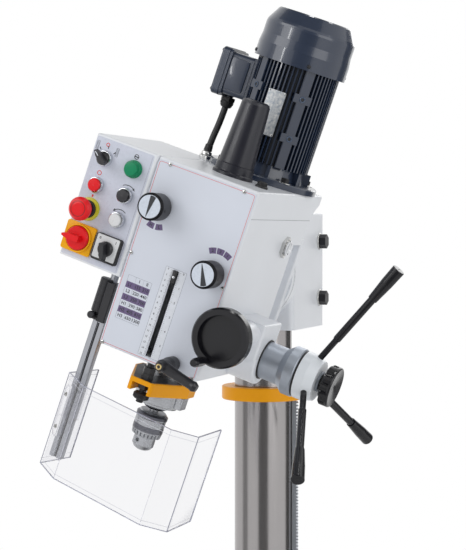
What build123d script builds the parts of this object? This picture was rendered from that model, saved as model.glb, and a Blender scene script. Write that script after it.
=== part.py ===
from build123d import *
import os
from math import asin, atan2, cos, degrees, hypot, pi, radians, sin, sqrt, tan

# Geared drill press, in millimetres. Floor at Z 0 under the column's axis, operator's side towards -Y.
# Head pieces are drawn upright about the tilt axis, and head_place then tilts them to rest.

# Clearances
running = 0.05            # radial, shaft in its bore
sliding = 0.15            # radial, sleeve on the column
passing = 0.3             # between faces that move past each other

# Stand
tilt_height = 1640.0
head_tilt = 19.69
column_diameter = 110.0
column_wall = 12.0
base_width = 440.0
base_front = 440.0
base_back = 150.0
base_height = 66.0
base_deck = 34.0
base_corner = 40.0
base_draft = 4.0
base_hole = 18.0
base_hole_inset = 45.0
pad_width = 320.0
pad_height = 6.0
seat_height = 8.0
slot_width = 14.0
slot_head_width = 24.0
slot_head_height = 10.0
slot_neck_height = 12.0
flange_diameter = 240.0
flange_thickness = 26.0
flange_neck_diameter = 164.0
flange_height = 110.0
flange_bolt_circle = 202.0
flange_hole = 17.0

# Column bracket and rack ring
bracket_half_width = 85.0
bracket_half_height = 110.0
bracket_front = 79.0
bracket_back = 119.0
bracket_top_wall = 12.0
bracket_split = 8.0
bracket_corner = 10.0
clamp_bolt_diameter = 16.0
clamp_bolt_y = 88.0
clamp_bolt_spacing = 110.0
clamp_bolt_flats = 24.0
clamp_bolt_head = 13.0
clamp_washer_diameter = 32.0
clamp_washer = 3.0
tilt_disc_diameter = 194.0
tilt_disc_face = 105.0    # distance of the tilt joint's faces from the column's axis
tilt_spigot_diameter = 60.0
tilt_spigot_length = 18.0
collar_diameter = 159.0
collar_height = 25.0
collar_drop = 246.0       # tilt axis down to the ring's lower face
collar_recess = 12.0

# Rack and table
rack_angle = 20.0
rack_module = 2.0
rack_width = 24.0
rack_thickness = 12.0
crank_teeth = 21
arm_low = 640.0
arm_height = 150.0
arm_sleeve_diameter = 168.0
arm_hub_diameter = 100.0
arm_beam_height = 64.0
arm_web = 22.0
case_half_width = 32.0
case_half_height = 42.0
case_wall = 12.0
crank_shaft_diameter = 20.0
crank_throw = 75.0
crank_arm_thickness = 14.0
crank_boss_length = 54.0
crank_drop = 20.0
crank_boss_diameter = 36.0
crank_grip_length = 78.0
crank_grip_diameter = 26.0
ear_thickness = 30.0
ear_reach = 122.0
ear_height = 80.0
arm_bolt_diameter = 16.0
arm_bolt_y = 102.0
arm_lever_length = 120.0
table_size = 360.0
table_thickness = 45.0
table_foot_diameter = 130.0
table_foot_height = 15.0
table_stem_diameter = 60.0
table_bore = 30.0
table_slot_spacing = 160.0
table_gutter = 10.0

# Head casting, lid and plate, about the tilt axis
throat = 285.0            # column's surface to spindle's axis
motor_offset = 156.0      # spindle's axis to motor's axis
head_width = 187.0
head_corner = 7.0
head_wall = 10.0
head_bottom = -153.0
head_front = -451.0
head_side_back = -168.0
head_top_back = -126.0
head_shoulder = 86.0
neck_width = 144.0
back_plate = 14.0
seam_height = 133.0
lid_top = 180.0
lid_wall = 8.0
lid_lip = 18.0
lid_lip_back = -95.0
gear_floor_top = 70.0
gear_floor = 16.0
plate_width = 182.0
plate_bottom = -151.0
plate_top = 175.0
plate_thickness = 2.0
scale_slot_width = 10.0
scale_slot_top = 10.0
scale_slot_bottom = -143.0

# Quill, spindle and chuck
quill_diameter = 75.0
quill_top = 52.0
quill_bottom = -238.0
quill_travel = 150.0
guide_diameter = 100.0
spindle_diameter = 35.0
spline_diameter = 28.0
spindle_top = 300.0
nose_diameter = 52.0
nose_height = 9.0
arbor_diameter = 16.0
arbor_length = 6.0
bearing_width = 15.0
quill_bearing_diameter = 62.0
chuck_diameter = 56.0
chuck_back_height = 11.0
chuck_hub_diameter = 48.0
chuck_nose_diameter = 39.0
chuck_length = 71.0
chuck_sleeve_height = 33.0
chuck_teeth = 24
key_hole = 7.0
chuck_turn = -45.0        # first jaw, about the spindle from the head's right
jaw_diameter = 9.0
jaw_length = 32.0
jaw_slant = 15.0
jaw_grip = 5.0            # grip radius at rest
jaw_flat = 0.6            # half-width of the gripping edge
jaw_close = 16.0
jaw_open = 5.0
chuck_mouth = 12.0
chuck_mouth_depth = 43.0

# Depth stop
stop_top = -185.0
stop_height = 23.0
stop_front = -445.0
stop_front_width = 43.0
stop_width = 110.0
stop_plate = 8.0          # thickness over the hollow under the bracket's front
stop_cheek = 6.0
clamp_ring_diameter = 84.0
clamp_ring_height = 27.0
stop_rod_diameter = 12.0
stop_rod_y = -425.0
stop_nut_flats = 19.0
stop_nut_height = 10.0
stop_knob_diameter = 27.0
stop_knob_height = 11.0
pointer_height = 2.0
pointer_drop = 0.4        # slot's upper end to the pointer

# Feed
feed_module = 2.0
feed_teeth = 16
feed_height = -104.0
feed_shaft_diameter = 30.0
feed_box_end = 146.0
feed_box_back = -256.0
feed_box_front = -345.0
feed_box_top = -40.0
feed_boss_diameter = 94.0
clutch_diameter = 66.0
clutch_ring_diameter = 87.0
clutch_cone_start = 182.0
clutch_ring_start = 195.0
clutch_ring_end = 213.0
worm_wheel_teeth = 30
worm_diameter = 18.4
worm_length = 46.0
worm_shaft_diameter = 14.0
worm_boss_diameter = 40.0
hub_diameter = 84.0
hub_start = 217.0
hub_end = 250.0
hub_face_diameter = 71.0
hub_taper = 17.0
hub_washer = 4.0
lever_lean = 22.8
lever_turn = -2.8
lever_root = 222.8        # where the levers' axes meet on the feed axis
lever_reach = 249.5
lever_grip_length = 69.0
lever_neck = 84.0           # from the root to the step in the shaft
lever_diameter = 14.0
lever_tip_diameter = 23.0
lever_shank_diameter = 11.0
star_diameter = 72.0
star_thickness = 19.5
star_lobes = 8
star_hollow = 10.0
star_rim = 5.0
star_dish = 4.0
star_neck_diameter = 28.0
star_stud = 9.0
star_start = 262.0
wheel_diameter = 100.0
wheel_thickness = 25.0
wheel_front = -490.0
wheel_x = 120.5
wheel_height = -61.5
wheel_dish = 12.0
wheel_rim = 12.0
wheel_handle_radius = 43.0
wheel_handle_turn = 193.0 # from the head's up, clockwise seen from the front
wheel_handle_length = 56.0
spring_strip = 1.5
spring_width = 12.0
spring_turns = 4
spring_pitch = 4.2

# Gear train
gear_module = 3.0
gear_width = 7.0
shift_step = 10.0
speed_teeth = (16, 26, 20)
range_fixed_teeth = (36, 26, 32)
range_teeth = (18, 26)
sleeve_teeth = (36, 28)
range_shaft_diameter = 25.0
sleeve_diameter = 40.0
low_gear_height = 78.0
high_gear_height = 126.0
rotor_shaft_diameter = 24.0

# Gear knobs
knob_diameter = 46.0
knob_length = 46.0
knob_shaft_diameter = 12.0
range_knob_x = -62.5
range_knob_height = 100.0
speed_knob_x = 62.5
speed_knob_height = 27.0
range_crank = 14.1
speed_crank = 16.0
crank_pin_diameter = 6.0
fork_rod_diameter = 14.0
fork_rod_y = -200.0
fork_thickness = 5.0
fork_width = 24.0

# Quill lock
lock_x = 47.5
lock_height = -137.0
lock_front = -518.0
lock_reach = 69.0
lock_drop = 11.0          # degrees that the lever hangs below level
lock_stud_diameter = 12.0

# Motor
motor_flange_diameter = 200.0
motor_flange = 11.0
motor_spigot_diameter = 100.0
motor_frame_diameter = 124.0
motor_fin_diameter = 150.0
motor_fins = 60
motor_fin_thickness = 2.4
motor_frame_low = 212.0
motor_frame_high = 392.0
cowl_diameter = 164.0
cowl_bottom = 388.0
cowl_shoulder = 458.0
cowl_top = 480.0
cowl_top_diameter = 132.0
cowl_wall = 2.0
rotor_diameter = 90.0
fan_diameter = 140.0
fan_blades = 7
lug_height = 15.0
lug_width = 33.0
corner_rib = 16.0
terminal_outer = -134.0
terminal_inner = -70.0
terminal_low = 297.0
terminal_high = 384.0
terminal_width = 84.0
terminal_lid = 15.0
gland_diameter = 20.0
cable_diameter = 12.0
cable_x = -110.0

# Cap, sight glass
cap_base_diameter = 72.0
cap_base_height = 7.0
cap_foot_diameter = 67.0
cap_body_diameter = 63.0
cap_top_diameter = 50.0
cap_top = 314.0
cap_wall = 3.0
glass_y = -226.0
glass_height = 83.5
glass_flats = 34.0
glass_reach = 8.0

# Control box
box_width = 120.0
box_bottom = -36.0
box_top = 180.0
box_front = -450.0
box_back = -176.0
box_wall = 3.0
left_column = -186.0
right_column = -130.0
button_rows = (143.0, 96.0, 53.0, 1.0)
button_diameter = 22.0
bezel_diameter = 28.0
bezel_height = 9.0
button_reach = 13.0
button_stem_diameter = 16.0
button_travel = 3.5
mushroom_diameter = 40.0
mushroom_reach = 44.0
mushroom_travel = 5.0
switch_plate_width = 56.0
switch_plate_height = 51.0
switch_plate = 5.0
cam_plate_width = 48.0
cam_plate_height = 46.0
cam_plate = 8.0
selector_turn = 141.0     # where the switches point, from the head's right, anticlockwise
main_switch_turn = 180.0
cam_switch_turn = -72.0

# Guard
post_x = -131.0
post_y = -380.0
post_width = 24.0
post_depth = 14.0
post_bottom = -388.0
pivot_diameter = 12.0
switch_body_diameter = 25.0
switch_body_offset = 9.0
switch_box_width = 16.0
switch_depth = 30.0
switch_rod_diameter = 14.0
switch_top = -57.0
switch_bottom = -132.0
shield_top = -236.0
shield_bottom = -407.0
shield_thickness = 3.0
shield_plan = ((-141, -291), (-150, -391), (-97.5, -440), (88, -475), (128, -451), (128, -346))
holder_wall = 3.0

# Worked-out places
column_radius = column_diameter / 2
spindle_y = -(column_radius + throat)
motor_y = spindle_y + motor_offset
feed_radius = feed_module * feed_teeth / 2
quill_rack_line = quill_diameter / 2 - 1 - feed_module
feed_y = spindle_y + quill_rack_line + feed_radius
head_half = head_width / 2
deck_top = base_height + seat_height
column_top = tilt_height + bracket_half_height - bracket_top_wall
collar_low = tilt_height - collar_drop
rack_back = column_radius + passing
rack_tip = rack_back + rack_thickness
arm_middle = arm_low + arm_height / 2
crank_height = arm_middle - crank_drop
crank_radius = rack_module * crank_teeth / 2
crank_axis = rack_tip - rack_module + crank_radius
hub_top = arm_low + arm_height
table_top = hub_top + passing + table_foot_height + table_thickness
speed_distance = gear_module * (speed_teeth[0] + range_fixed_teeth[0]) / 2
range_distance = gear_module * (range_teeth[0] + sleeve_teeth[0]) / 2
from_motor = (speed_distance ** 2 - range_distance ** 2 + motor_offset ** 2) / (2 * motor_offset)
range_x = -sqrt(speed_distance ** 2 - from_motor ** 2)
range_y = motor_y - from_motor
mesh_to_motor = degrees(atan2(motor_y - range_y, -range_x))
mesh_to_spindle = degrees(atan2(spindle_y - range_y, -range_x))
plate_front = head_front - plate_thickness
floor_low = gear_floor_top - gear_floor
box_right = -head_half
box_left = box_right - box_width
chuck_top = quill_bottom - passing - nose_height - arbor_length
chuck_bottom = chuck_top - chuck_length
stop_bottom = stop_top - stop_height
clamp_ring_low = stop_bottom - clamp_ring_height

up = (0, 0, 1)
right = (1, 0, 0)
back = (0, 1, 0)
front = (0, -1, 0)
head_place = Location((0, 0, tilt_height), (0, head_tilt, 0))
os.makedirs("parts", exist_ok=True)


def save(piece, name, place=Location()):
    """Name a finished piece, put it in its place and write it."""
    solid = piece.part.moved(place)
    solid.label = name
    export_step(solid, f"parts/{name}.step")


def outline(points, plane=Plane.XY):
    """A closed, straight-sided face on a plane."""
    with BuildSketch(plane) as face:
        with BuildLine():
            Polyline(*points, close=True)
        make_face()
    return face.sketch


def spin(points, start, along=up, across=right, mode=Mode.ADD):
    """Turn a half section, given as (radius, distance along) points, about an axis."""
    normal = Vector(*across).cross(Vector(*along))
    plane = Plane(origin=start, x_dir=Vector(*along).cross(normal), z_dir=normal)
    revolve(outline(points, plane), axis=Axis(start, along), mode=mode)


def drum(diameter, start, along, length, mode=Mode.ADD):
    """A round bar, or a round hole, from a start point along a direction."""
    with BuildSketch(Plane(origin=start, z_dir=along)) as face:
        Circle(diameter / 2)
    extrude(face.sketch, amount=length, mode=mode)


def tube(outer, inner, start, along, length):
    """A plain ring with a bore."""
    with BuildSketch(Plane(origin=start, z_dir=along)) as face:
        Circle(outer / 2)
        Circle(inner / 2, mode=Mode.SUBTRACT)
    extrude(face.sketch, amount=length)


def slab(low, high, corner=0.0, mode=Mode.ADD):
    """An upright block between two corners, with rounded upright edges."""
    width, depth = high[0] - low[0], high[1] - low[1]
    with BuildSketch(Plane((0, 0, low[2]))) as face:
        with Locations(((low[0] + high[0]) / 2, (low[1] + high[1]) / 2)):
            if corner:
                RectangleRounded(width, depth, corner)
            else:
                Rectangle(width, depth)
    extrude(face.sketch, amount=high[2] - low[2], mode=mode)


def hexagon(flats, start, along, length):
    """A hexagonal bar of a given width across flats."""
    with BuildSketch(Plane(origin=start, z_dir=along)) as face:
        RegularPolygon(flats / 2, 6, major_radius=False)
    extrude(face.sketch, amount=length)


def gear_face(teeth, module, plane, middle):
    """Straight-flanked spur teeth with backlash; one tooth points at the middle angle."""
    pitch = module * teeth / 2
    half = 0.40 * pi * module / 2
    slope = tan(radians(20))
    points = []
    for tooth in range(teeth):
        turn = radians(middle + 360 * tooth / teeth)
        for rise, side in ((-1.25, -1), (0.8, -1), (0.8, 1), (-1.25, 1)):
            radius = pitch + rise * module
            angle = turn + side * (half - rise * module * slope) / radius
            points.append((radius * cos(angle), radius * sin(angle)))
    return outline(points, plane)


def gear(teeth, axis, height, middle, module=None):
    """A spur gear on an upright axis, centred at a height."""
    plane = Plane((*axis, height - gear_width / 2))
    extrude(gear_face(teeth, module or gear_module, plane, middle), amount=gear_width)


def rack_points(start, end, through, back_line, tip_line, module):
    """A rack's side view as (across, along) points; one tooth's middle lies at the through height."""
    pitch = pi * module
    first = -int((through - start) / pitch - 0.6)
    last = int((end - through) / pitch - 0.6)
    root = tip_line - 2.25 * module
    points = [(back_line, start), (root, start)]
    for tooth in range(first, last + 1):
        middle = through + tooth * pitch
        points += [(root, middle - 0.26 * pitch), (tip_line, middle - 0.10 * pitch)]
        points += [(tip_line, middle + 0.10 * pitch), (root, middle + 0.26 * pitch)]
    return points + [(root, end), (back_line, end)]


# Base: drafted casting, machined pad with two T-slots, pockets underneath between ribs
base_length = base_front + base_back
base_middle = (base_back - base_front) / 2
pad_back = -flange_diameter / 2 - 20
pocket_width = (pad_width - 4 * base_deck) / 3 + base_deck / 2

with BuildPart() as base:
    with BuildSketch():
        with Locations((0, base_middle)):
            RectangleRounded(base_width, base_length, base_corner)
    extrude(amount=base_height, taper=base_draft)
    fillet(base.faces().sort_by(Axis.Z)[-1].edges(), 8)
    slab((-pad_width / 2, -base_front + 40, base_height - 1),
         (pad_width / 2, pad_back, base_height + pad_height), 12)
    drum(flange_diameter + 10, (0, 0, base_height - 1), up, seat_height + 1)
    pad_middle = (pad_back - base_front + 40) / 2
    slot_top = base_height + pad_height
    slot_floor = slot_top - slot_neck_height - slot_head_height
    for side in (-1, 1):
        slot_x = side * pad_width / 4
        slab((slot_x - slot_width / 2, -base_front, slot_floor),
             (slot_x + slot_width / 2, pad_back - 30, slot_top), mode=Mode.SUBTRACT)
        slab((slot_x - slot_head_width / 2, -base_front, slot_floor),
             (slot_x + slot_head_width / 2, pad_back - 30, slot_floor + slot_head_height), mode=Mode.SUBTRACT)
    with BuildSketch():
        with Locations((0, pad_middle)):
            with GridLocations(pocket_width + base_deck / 2, 0, 3, 1):
                RectangleRounded(pocket_width, pad_back + base_front - 100, 10)
    extrude(amount=base_height - base_deck, mode=Mode.SUBTRACT)
    with Locations((0, base_middle, base_height)):
        with GridLocations(base_width - 2 * base_hole_inset, base_length - 2 * base_hole_inset, 2, 2):
            Hole(base_hole / 2, base_height)
save(base, "base")

# Column flange: neck with a generous cove down to the bolted foot
with BuildPart() as column_flange:
    bore = column_radius + running
    foot, neck = flange_diameter / 2, flange_neck_diameter / 2
    spin([(bore, 0), (foot, 0), (foot, flange_thickness - 4), (foot - 4, flange_thickness),
          (neck + 12, flange_thickness), (neck, flange_thickness + 24), (neck - 4, flange_height - 4),
          (neck - 8, flange_height), (bore, flange_height)], (0, 0, deck_top))
    with Locations((0, 0, deck_top + flange_thickness)):
        with PolarLocations(flange_bolt_circle / 2, 4, start_angle=45):
            Hole(flange_hole / 2, flange_thickness)
save(column_flange, "column_flange")

with BuildPart() as column:
    inside = column_radius - column_wall
    spin([(inside, 0), (column_radius, 0), (column_radius, column_top - deck_top - 2),
          (column_radius - 2, column_top - deck_top), (inside, column_top - deck_top)], (0, 0, deck_top))
save(column, "column")

# Rack ring: holds the rack's upper end against the column while it swings round
rack_corner = hypot(rack_tip, rack_width / 2)
with BuildPart() as rack_collar:
    outer, bore = collar_diameter / 2, column_radius + running
    spin([(rack_corner + passing, 0), (outer - 1.5, 0), (outer, 1.5), (outer, collar_height - 1.5),
          (outer - 1.5, collar_height), (bore + 6, collar_height), (bore, collar_height - 6),
          (bore, collar_recess), (rack_corner + passing, collar_recess)], (0, 0, collar_low))
save(rack_collar, "rack_collar")

# Column bracket: clamped block with the round tilt seat on its front
with BuildPart() as head_bracket:
    slab((-bracket_half_width, -bracket_front, tilt_height - bracket_half_height),
         (bracket_half_width, bracket_back, tilt_height + bracket_half_height), bracket_corner)
    fillet(head_bracket.faces().sort_by(Axis.Z)[-1].edges(), 4)
    drum(tilt_disc_diameter, (0, -bracket_front + 1, tilt_height), front, tilt_disc_face - bracket_front + 1)
    chamfer(head_bracket.faces().sort_by(Axis.Y)[0].edges(), 1.5)
    drum(column_diameter + 2 * running, (0, 0, tilt_height - bracket_half_height), up,
         2 * bracket_half_height - bracket_top_wall, Mode.SUBTRACT)
    drum(tilt_spigot_diameter + 2 * running, (0, -tilt_disc_face, tilt_height), back,
         tilt_spigot_length + passing, Mode.SUBTRACT)
    slab((-bracket_split / 2, column_radius - 5, tilt_height - bracket_half_height),
         (bracket_split / 2, bracket_back + 1, tilt_height + bracket_half_height), mode=Mode.SUBTRACT)
    for side in (-1, 1):
        hole_height = tilt_height + side * clamp_bolt_spacing / 2
        drum(clamp_bolt_diameter + 2 * running, (-bracket_half_width, clamp_bolt_y, hole_height), right,
             2 * bracket_half_width, Mode.SUBTRACT)
save(head_bracket, "head_bracket")

with BuildPart() as bracket_bolts:
    for side in (-1, 1):
        height = tilt_height + side * clamp_bolt_spacing / 2
        seat = (bracket_half_width, clamp_bolt_y, height)
        nut_seat = (-bracket_half_width, clamp_bolt_y, height)
        drum(clamp_bolt_diameter, (-bracket_half_width - clamp_bolt_head - 4, clamp_bolt_y, height), right,
             2 * bracket_half_width + clamp_bolt_head + 8)
        drum(clamp_washer_diameter, seat, right, clamp_washer)
        hexagon(clamp_bolt_flats, (bracket_half_width + clamp_washer, clamp_bolt_y, height), right,
                clamp_bolt_head)
        hexagon(clamp_bolt_flats, nut_seat, (-1, 0, 0), clamp_bolt_head)
save(bracket_bolts, "bracket_bolts")

# Rack: stands beside the column between the flange and the ring
outward = (cos(radians(rack_angle)), sin(radians(rack_angle)), 0)
crank_way = (sin(radians(rack_angle)), -cos(radians(rack_angle)), 0)
rack_plane = Plane(origin=(0, 0, 0), x_dir=outward, z_dir=crank_way)
rack_low = deck_top + flange_height + passing
rack_high = collar_low + collar_recess - passing
with BuildPart() as table_rack:
    extrude(outline(rack_points(rack_low, rack_high, crank_height, rack_back, rack_tip, rack_module),
                    rack_plane),
            amount=rack_width / 2, both=True)
save(table_rack, "table_rack")


def at_case(radial, side, height):
    """A point beside the rack: out from the column, along the crank's axis, and up."""
    return tuple(radial * o + side * c for o, c in zip(outward, crank_way))[:2] + (height,)


# Table arm: split sleeve, tapering beam with a web, hub for the table and case for the crank's pinion
with BuildPart() as table_arm:
    drum(arm_sleeve_diameter, (0, 0, arm_low), up, arm_height)
    hub_half = arm_hub_diameter / 2
    beam_top = hub_top - 6
    extrude(outline([(-arm_sleeve_diameter * 0.28, -30), (arm_sleeve_diameter * 0.28, -30),
                     (hub_half * 0.86, spindle_y), (-hub_half * 0.86, spindle_y)],
                    Plane((0, 0, beam_top - arm_web))), amount=arm_web)
    web = Plane(origin=(0, 0, 0), x_dir=back, z_dir=right)
    extrude(outline([(-40, arm_low + 8), (spindle_y + 20, beam_top - arm_beam_height),
                     (spindle_y, beam_top - 4),
                     (-40, beam_top - 4)], web), amount=arm_web / 2, both=True)
    drum(arm_hub_diameter, (0, spindle_y, hub_top - arm_beam_height - 16), up, arm_beam_height + 16)
    slab((-ear_thickness - 3, 40, arm_middle - ear_height / 2),
         (ear_thickness + 3, ear_reach, arm_middle + ear_height / 2), 8)
    case = Plane(origin=at_case(0, 0, crank_height - case_half_height), x_dir=outward, z_dir=up)
    case_end = crank_axis + crank_radius + rack_module + case_wall
    with BuildSketch(case):
        with Locations(((case_end + rack_back) / 2, 0)):
            RectangleRounded(case_end - rack_back, 2 * case_half_width, 8)
    extrude(amount=2 * case_half_height)
    drum(crank_boss_diameter, at_case(crank_axis, case_half_width - 2, crank_height), crank_way,
         crank_boss_length + 2)
    drum(column_diameter + 2 * sliding, (0, 0, arm_low), up, arm_height, Mode.SUBTRACT)
    with BuildSketch(Plane(origin=(0, 0, arm_low), x_dir=outward, z_dir=up)):
        with Locations(((rack_tip + column_radius - 10 + 2 * passing) / 2, 0)):
            Rectangle(rack_tip - column_radius + 10 + 2 * passing, rack_width + 4 * passing)
    extrude(amount=arm_height, mode=Mode.SUBTRACT)
    pocket_half = rack_width / 2 + 2 * passing
    drum(2 * (crank_radius + rack_module) + 2, at_case(crank_axis, -pocket_half, crank_height), crank_way,
         2 * pocket_half, Mode.SUBTRACT)
    drum(crank_shaft_diameter + 2 * running, at_case(crank_axis, -case_half_width + case_wall / 2,
                                                     crank_height),
         crank_way, 2 * case_half_width + crank_boss_length, Mode.SUBTRACT)
    slab((-3, column_radius - 5, arm_low), (3, ear_reach + 1, hub_top), mode=Mode.SUBTRACT)
    drum(arm_bolt_diameter + 2 * running, (-ear_thickness - 3, arm_bolt_y, arm_middle), right,
         2 * ear_thickness + 6, Mode.SUBTRACT)
    drum(table_stem_diameter + 2 * running, (0, spindle_y, hub_top), (0, 0, -1), arm_beam_height + 20,
         Mode.SUBTRACT)
save(table_arm, "table_arm")

# Table crank: pinion on its shaft, cranked arm and a turned grip
crank_start = -case_half_width + case_wall / 2 + passing
crank_hub = case_half_width + crank_boss_length + passing
with BuildPart() as table_crank:
    drum(crank_shaft_diameter, at_case(crank_axis, crank_start, crank_height), crank_way,
         crank_hub - crank_start + 6)
    pinion_plane = Plane(origin=at_case(crank_axis, -rack_width / 2, crank_height),
                         x_dir=(-outward[0], -outward[1], 0), z_dir=crank_way)
    extrude(gear_face(crank_teeth, rack_module, pinion_plane, 180 / crank_teeth), amount=rack_width)
    drum(2 * crank_shaft_diameter, at_case(crank_axis, crank_hub, crank_height), crank_way,
         crank_arm_thickness + 8)
    arm_plane = Plane(origin=at_case(crank_axis, crank_hub + 4, crank_height), x_dir=outward, z_dir=crank_way)
    with BuildSketch(arm_plane):
        with Locations((0, -crank_throw / 2)):
            SlotCenterToCenter(crank_throw, 1.4 * crank_shaft_diameter, rotation=90)
    extrude(amount=crank_arm_thickness)
    grip = crank_grip_diameter / 2
    spin([(0, 0), (grip * 0.7, 0), (grip, 16), (grip * 0.85, crank_grip_length * 0.6),
          (grip, crank_grip_length - 8), (grip * 0.7, crank_grip_length), (0, crank_grip_length)],
         at_case(crank_axis, crank_hub + 4 + crank_arm_thickness, crank_height - crank_throw), crank_way, up)
save(table_crank, "table_crank")

with BuildPart() as arm_clamp_lever:
    shaft_end = ear_thickness + 3 + passing
    drum(arm_bolt_diameter, (-shaft_end, arm_bolt_y, arm_middle), right, 2 * shaft_end)
    hexagon(1.5 * arm_bolt_diameter, (-shaft_end, arm_bolt_y, arm_middle), (-1, 0, 0), 10)
    drum(2 * arm_bolt_diameter, (shaft_end, arm_bolt_y, arm_middle), right, 24)
    lean = radians(15)
    lever_way = (sin(lean), cos(lean), 0)
    lever_start = (shaft_end + 12, arm_bolt_y, arm_middle)
    spin([(0, 0), (8, 0), (6, arm_lever_length - 20), (6, arm_lever_length), (10, arm_lever_length),
          (14, arm_lever_length + 8), (14, arm_lever_length + 18), (9, arm_lever_length + 27),
          (0, arm_lever_length + 28)], lever_start, lever_way, up)
save(arm_clamp_lever, "arm_clamp_lever")

# Work table: T-slotted square with a gutter, turning on its stem in the arm's hub
with BuildPart() as work_table:
    half = table_size / 2
    low = table_top - table_thickness
    slab((-half, spindle_y - half, low), (half, spindle_y + half, table_top), 14)
    chamfer(work_table.faces().sort_by(Axis.Z)[0].edges(), 8)
    drum(table_foot_diameter, (0, spindle_y, hub_top + passing), up, table_foot_height + 1)
    drum(table_stem_diameter, (0, spindle_y, hub_top - arm_beam_height), up, arm_beam_height + passing + 1)
    with BuildSketch(Plane((0, spindle_y, table_top))):
        RectangleRounded(table_size - 16, table_size - 16, 8)
        inner_size = table_size - 16 - 2 * table_gutter
        RectangleRounded(inner_size, inner_size, 6, mode=Mode.SUBTRACT)
    extrude(amount=-6, mode=Mode.SUBTRACT)
    slot_floor = table_top - slot_neck_height - slot_head_height
    for side in (-1, 1):
        slot_x = side * table_slot_spacing / 2
        slab((slot_x - slot_width / 2, spindle_y - half, slot_floor),
             (slot_x + slot_width / 2, spindle_y + half, table_top), mode=Mode.SUBTRACT)
        slab((slot_x - slot_head_width / 2, spindle_y - half, slot_floor),
             (slot_x + slot_head_width / 2, spindle_y + half, slot_floor + slot_head_height),
             mode=Mode.SUBTRACT)
    with Locations((0, spindle_y, table_top)):
        Hole(table_bore / 2)
save(work_table, "work_table")

# Head casting: gear room above, quill guide in the open-fronted room below, feed box on the right
feed_axis = (feed_y, feed_height)
guide_axis = (0, spindle_y)
worm_axis = (wheel_x, wheel_height)
lock_boss_front = spindle_y - guide_diameter / 2 - 12
bearing_seats = (((0, spindle_y), 62.0, sleeve_diameter), ((range_x, range_y), 52.0, range_shaft_diameter),
                 ((0, motor_y), 52.0, rotor_shaft_diameter))
bearing_height = 12.0

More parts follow.
